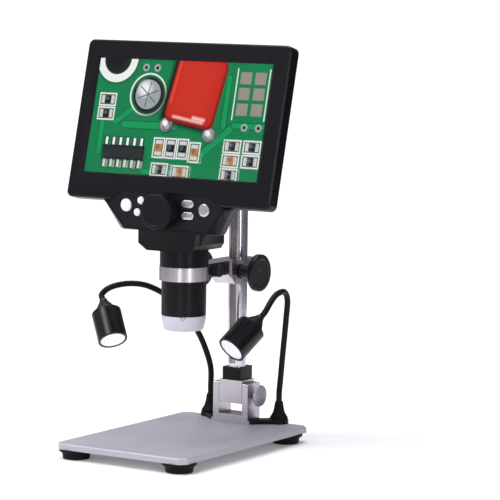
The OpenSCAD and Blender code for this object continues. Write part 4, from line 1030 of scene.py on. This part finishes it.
def lampHead(side):
    where = [onAxis(lamps[side]["lens"], backOf(lamps[side]))]
    r, lensR, rootR, sleeveR, gap = head["r"], head["lensR"], head["rootR"], neck["r"], head["gap"]
    end = head["length"]
    wall, total = end - head["rim"], end + head["neck"]
    cup = [(lensR + gap, 0.2), (r, gap, 0.5), (r, wall, 0.25), (lensR + gap, wall)]
    cone = [(0, end - 5), (lensR, end - 5), (lensR, wall + gap), (r, wall + gap, 0.2), (r, end - gap, 0.4),
            (rootR, end, 0.3), (rootR - 1, end + 2, 1.2), (sleeveR + 0.9, total - 1.5, 0.6),
            (sleeveR + 0.6, total, 0.3), (0, total)]
    front, dome, steps = head["lensFront"], head["dome"], head["domeSteps"]
    lens = [(lensR * k / steps, front + dome * (1 - (k / steps) ** 2)) for k in range(steps + 1)]
    lens += [(lensR, head["lensBack"]), (0, head["lensBack"])]
    turnedPiece(side + "_cup_turned", cup, where, side + "_lamp_cup", cupBlack, closed=True)
    turnedPiece(side + "_neck_turned", cone, where, side + "_lamp_neck", cupBlack)
    turnedPiece(side + "_lens_turned", lens, where, side + "_lamp_lens", diffuser)
    dress(ledWhite, side + "_lamp_light")
    dress(steel, side + "_ferrule")


def addBoots():
    low, high = sizeOf("lamp_boots")
    r, h, mouth = boot["r"], high.z - low.z, neck["r"] + boot["gap"]
    profile = [(mouth, 0), (r, 0, 0.3), (r, boot["edge"], 0.4)]
    profile += [(r - narrower, h * share, rounding) for narrower, share, rounding in boot["cone"]]
    profile += [(neck["r"] + boot["lip"], h, 0.4), (mouth, h)]
    places = [upAt(*lamps[side]["boot"], low.z) for side in ("left", "right")]
    turnedPiece("boots_turned", profile, places, "lamp_boots", softRubber, closed=True)


for side in ("left", "right"):
    sleeveOf(side)
    lampHead(side)
addBoots()
print("lamps are dressed")


# ---- studio ----

studio = {
    "floor": (0.9, 0.9, 0.905, 1),
    "floorR": 0.8,
    "floorGlow": 0.12,
    "backdropR": 8,
    "backdropGlow": 1.1,
    # grey by direction, from the low far right to the high near left
    "skyward": (-0.2, -0.2, 0.36),
    "sky": ((0.18, (0.03, 0.03, 0.034, 1)), (0.5, (0.24, 0.225, 0.25, 1)), (0.92, (0.6, 0.58, 0.62, 1))),
    "aim": (0, 0, 0.14),
    # name: place, width and height, strength in watts
    "lights": {
        "keyPanel": ((-1.0, -1.3, 2.4), (1.4, 1.2), 46),
        "fillStrip": ((0.62, -2.5, 0.5), (0.3, 1.5), 6),
        "edgeStrip": ((2.1, -1.2, 0.6), (0.3, 1.5), 10),
        "topPanel": ((-0.2, 0.5, 2.4), (1.6, 1.6), 34),
    },
}


def addFloor():
    bm = bmesh.new()
    bmesh.ops.create_circle(bm, cap_ends=True, segments=96, radius=studio["floorR"],
                            matrix=Matrix.Translation((0, 0, cadBox[0][2])))
    pale = Finish("paleFloor", "plate", Roughness=0.6, Specular_IOR_Level=0.1, Base_Color=studio["floor"],
                  Emission_Color=(1, 1, 1, 1), Emission_Strength=studio["floorGlow"])
    meshObject("floor", bm, pale)


def addBackdrop():
    # a white room that only the camera sees, so it doesn't wash out the gloss
    bm = bmesh.new()
    bmesh.ops.create_icosphere(bm, subdivisions=4, radius=studio["backdropR"])
    white = Finish("backdropWhite", "plate", Base_Color=(0, 0, 0, 1), Specular_IOR_Level=0.0,
                   Emission_Color=(1, 1, 1, 1), Emission_Strength=studio["backdropGlow"])
    room = meshObject("backdrop", bm, white)
    room.visible_diffuse = False
    room.visible_glossy = False
    room.visible_transmission = False
    room.visible_shadow = False


def addSky():
    world = bpy.data.worlds.new("dimRoom")
    world.use_nodes = True
    tree = world.node_tree
    place = tree.nodes.new("ShaderNodeTexCoord")
    lean = tree.nodes.new("ShaderNodeVectorMath")
    lean.operation = "DOT_PRODUCT"
    lean.inputs[1].default_value = studio["skyward"]
    ramp = tree.nodes.new("ShaderNodeValToRGB")
    level = tree.nodes.new("ShaderNodeMath")
    level.operation = "ADD"
    level.inputs[1].default_value = 0.5
    stops = ramp.color_ramp.elements
    stops.new(0.5)
    for stop, (position, colour) in zip(stops, studio["sky"]):
        stop.position = position
        stop.color = colour
    tree.links.new(place.outputs["Generated"], lean.inputs[0])
    tree.links.new(lean.outputs["Value"], level.inputs[0])
    tree.links.new(level.outputs[0], ramp.inputs[0])
    tree.links.new(ramp.outputs[0], tree.nodes["Background"].inputs["Color"])
    scene.world = world


def addLights():
    for name, (place, (width, tall), power) in studio["lights"].items():
        data = bpy.data.lights.new(name, "AREA")
        data.shape = "RECTANGLE"
        data.size = width
        data.size_y = tall
        data.energy = power
        lamp = bpy.data.objects.new(name, data)
        scene.collection.objects.link(lamp)
        toPart = Vector(studio["aim"]) - Vector(place)
        lamp.location = place
        lamp.rotation_mode = "QUATERNION"
        lamp.rotation_quaternion = toPart.to_track_quat("-Z", "Y")


scene.view_settings.view_transform = "Standard"
addFloor()
addBackdrop()
addSky()
addLights()
print("studio is lit")
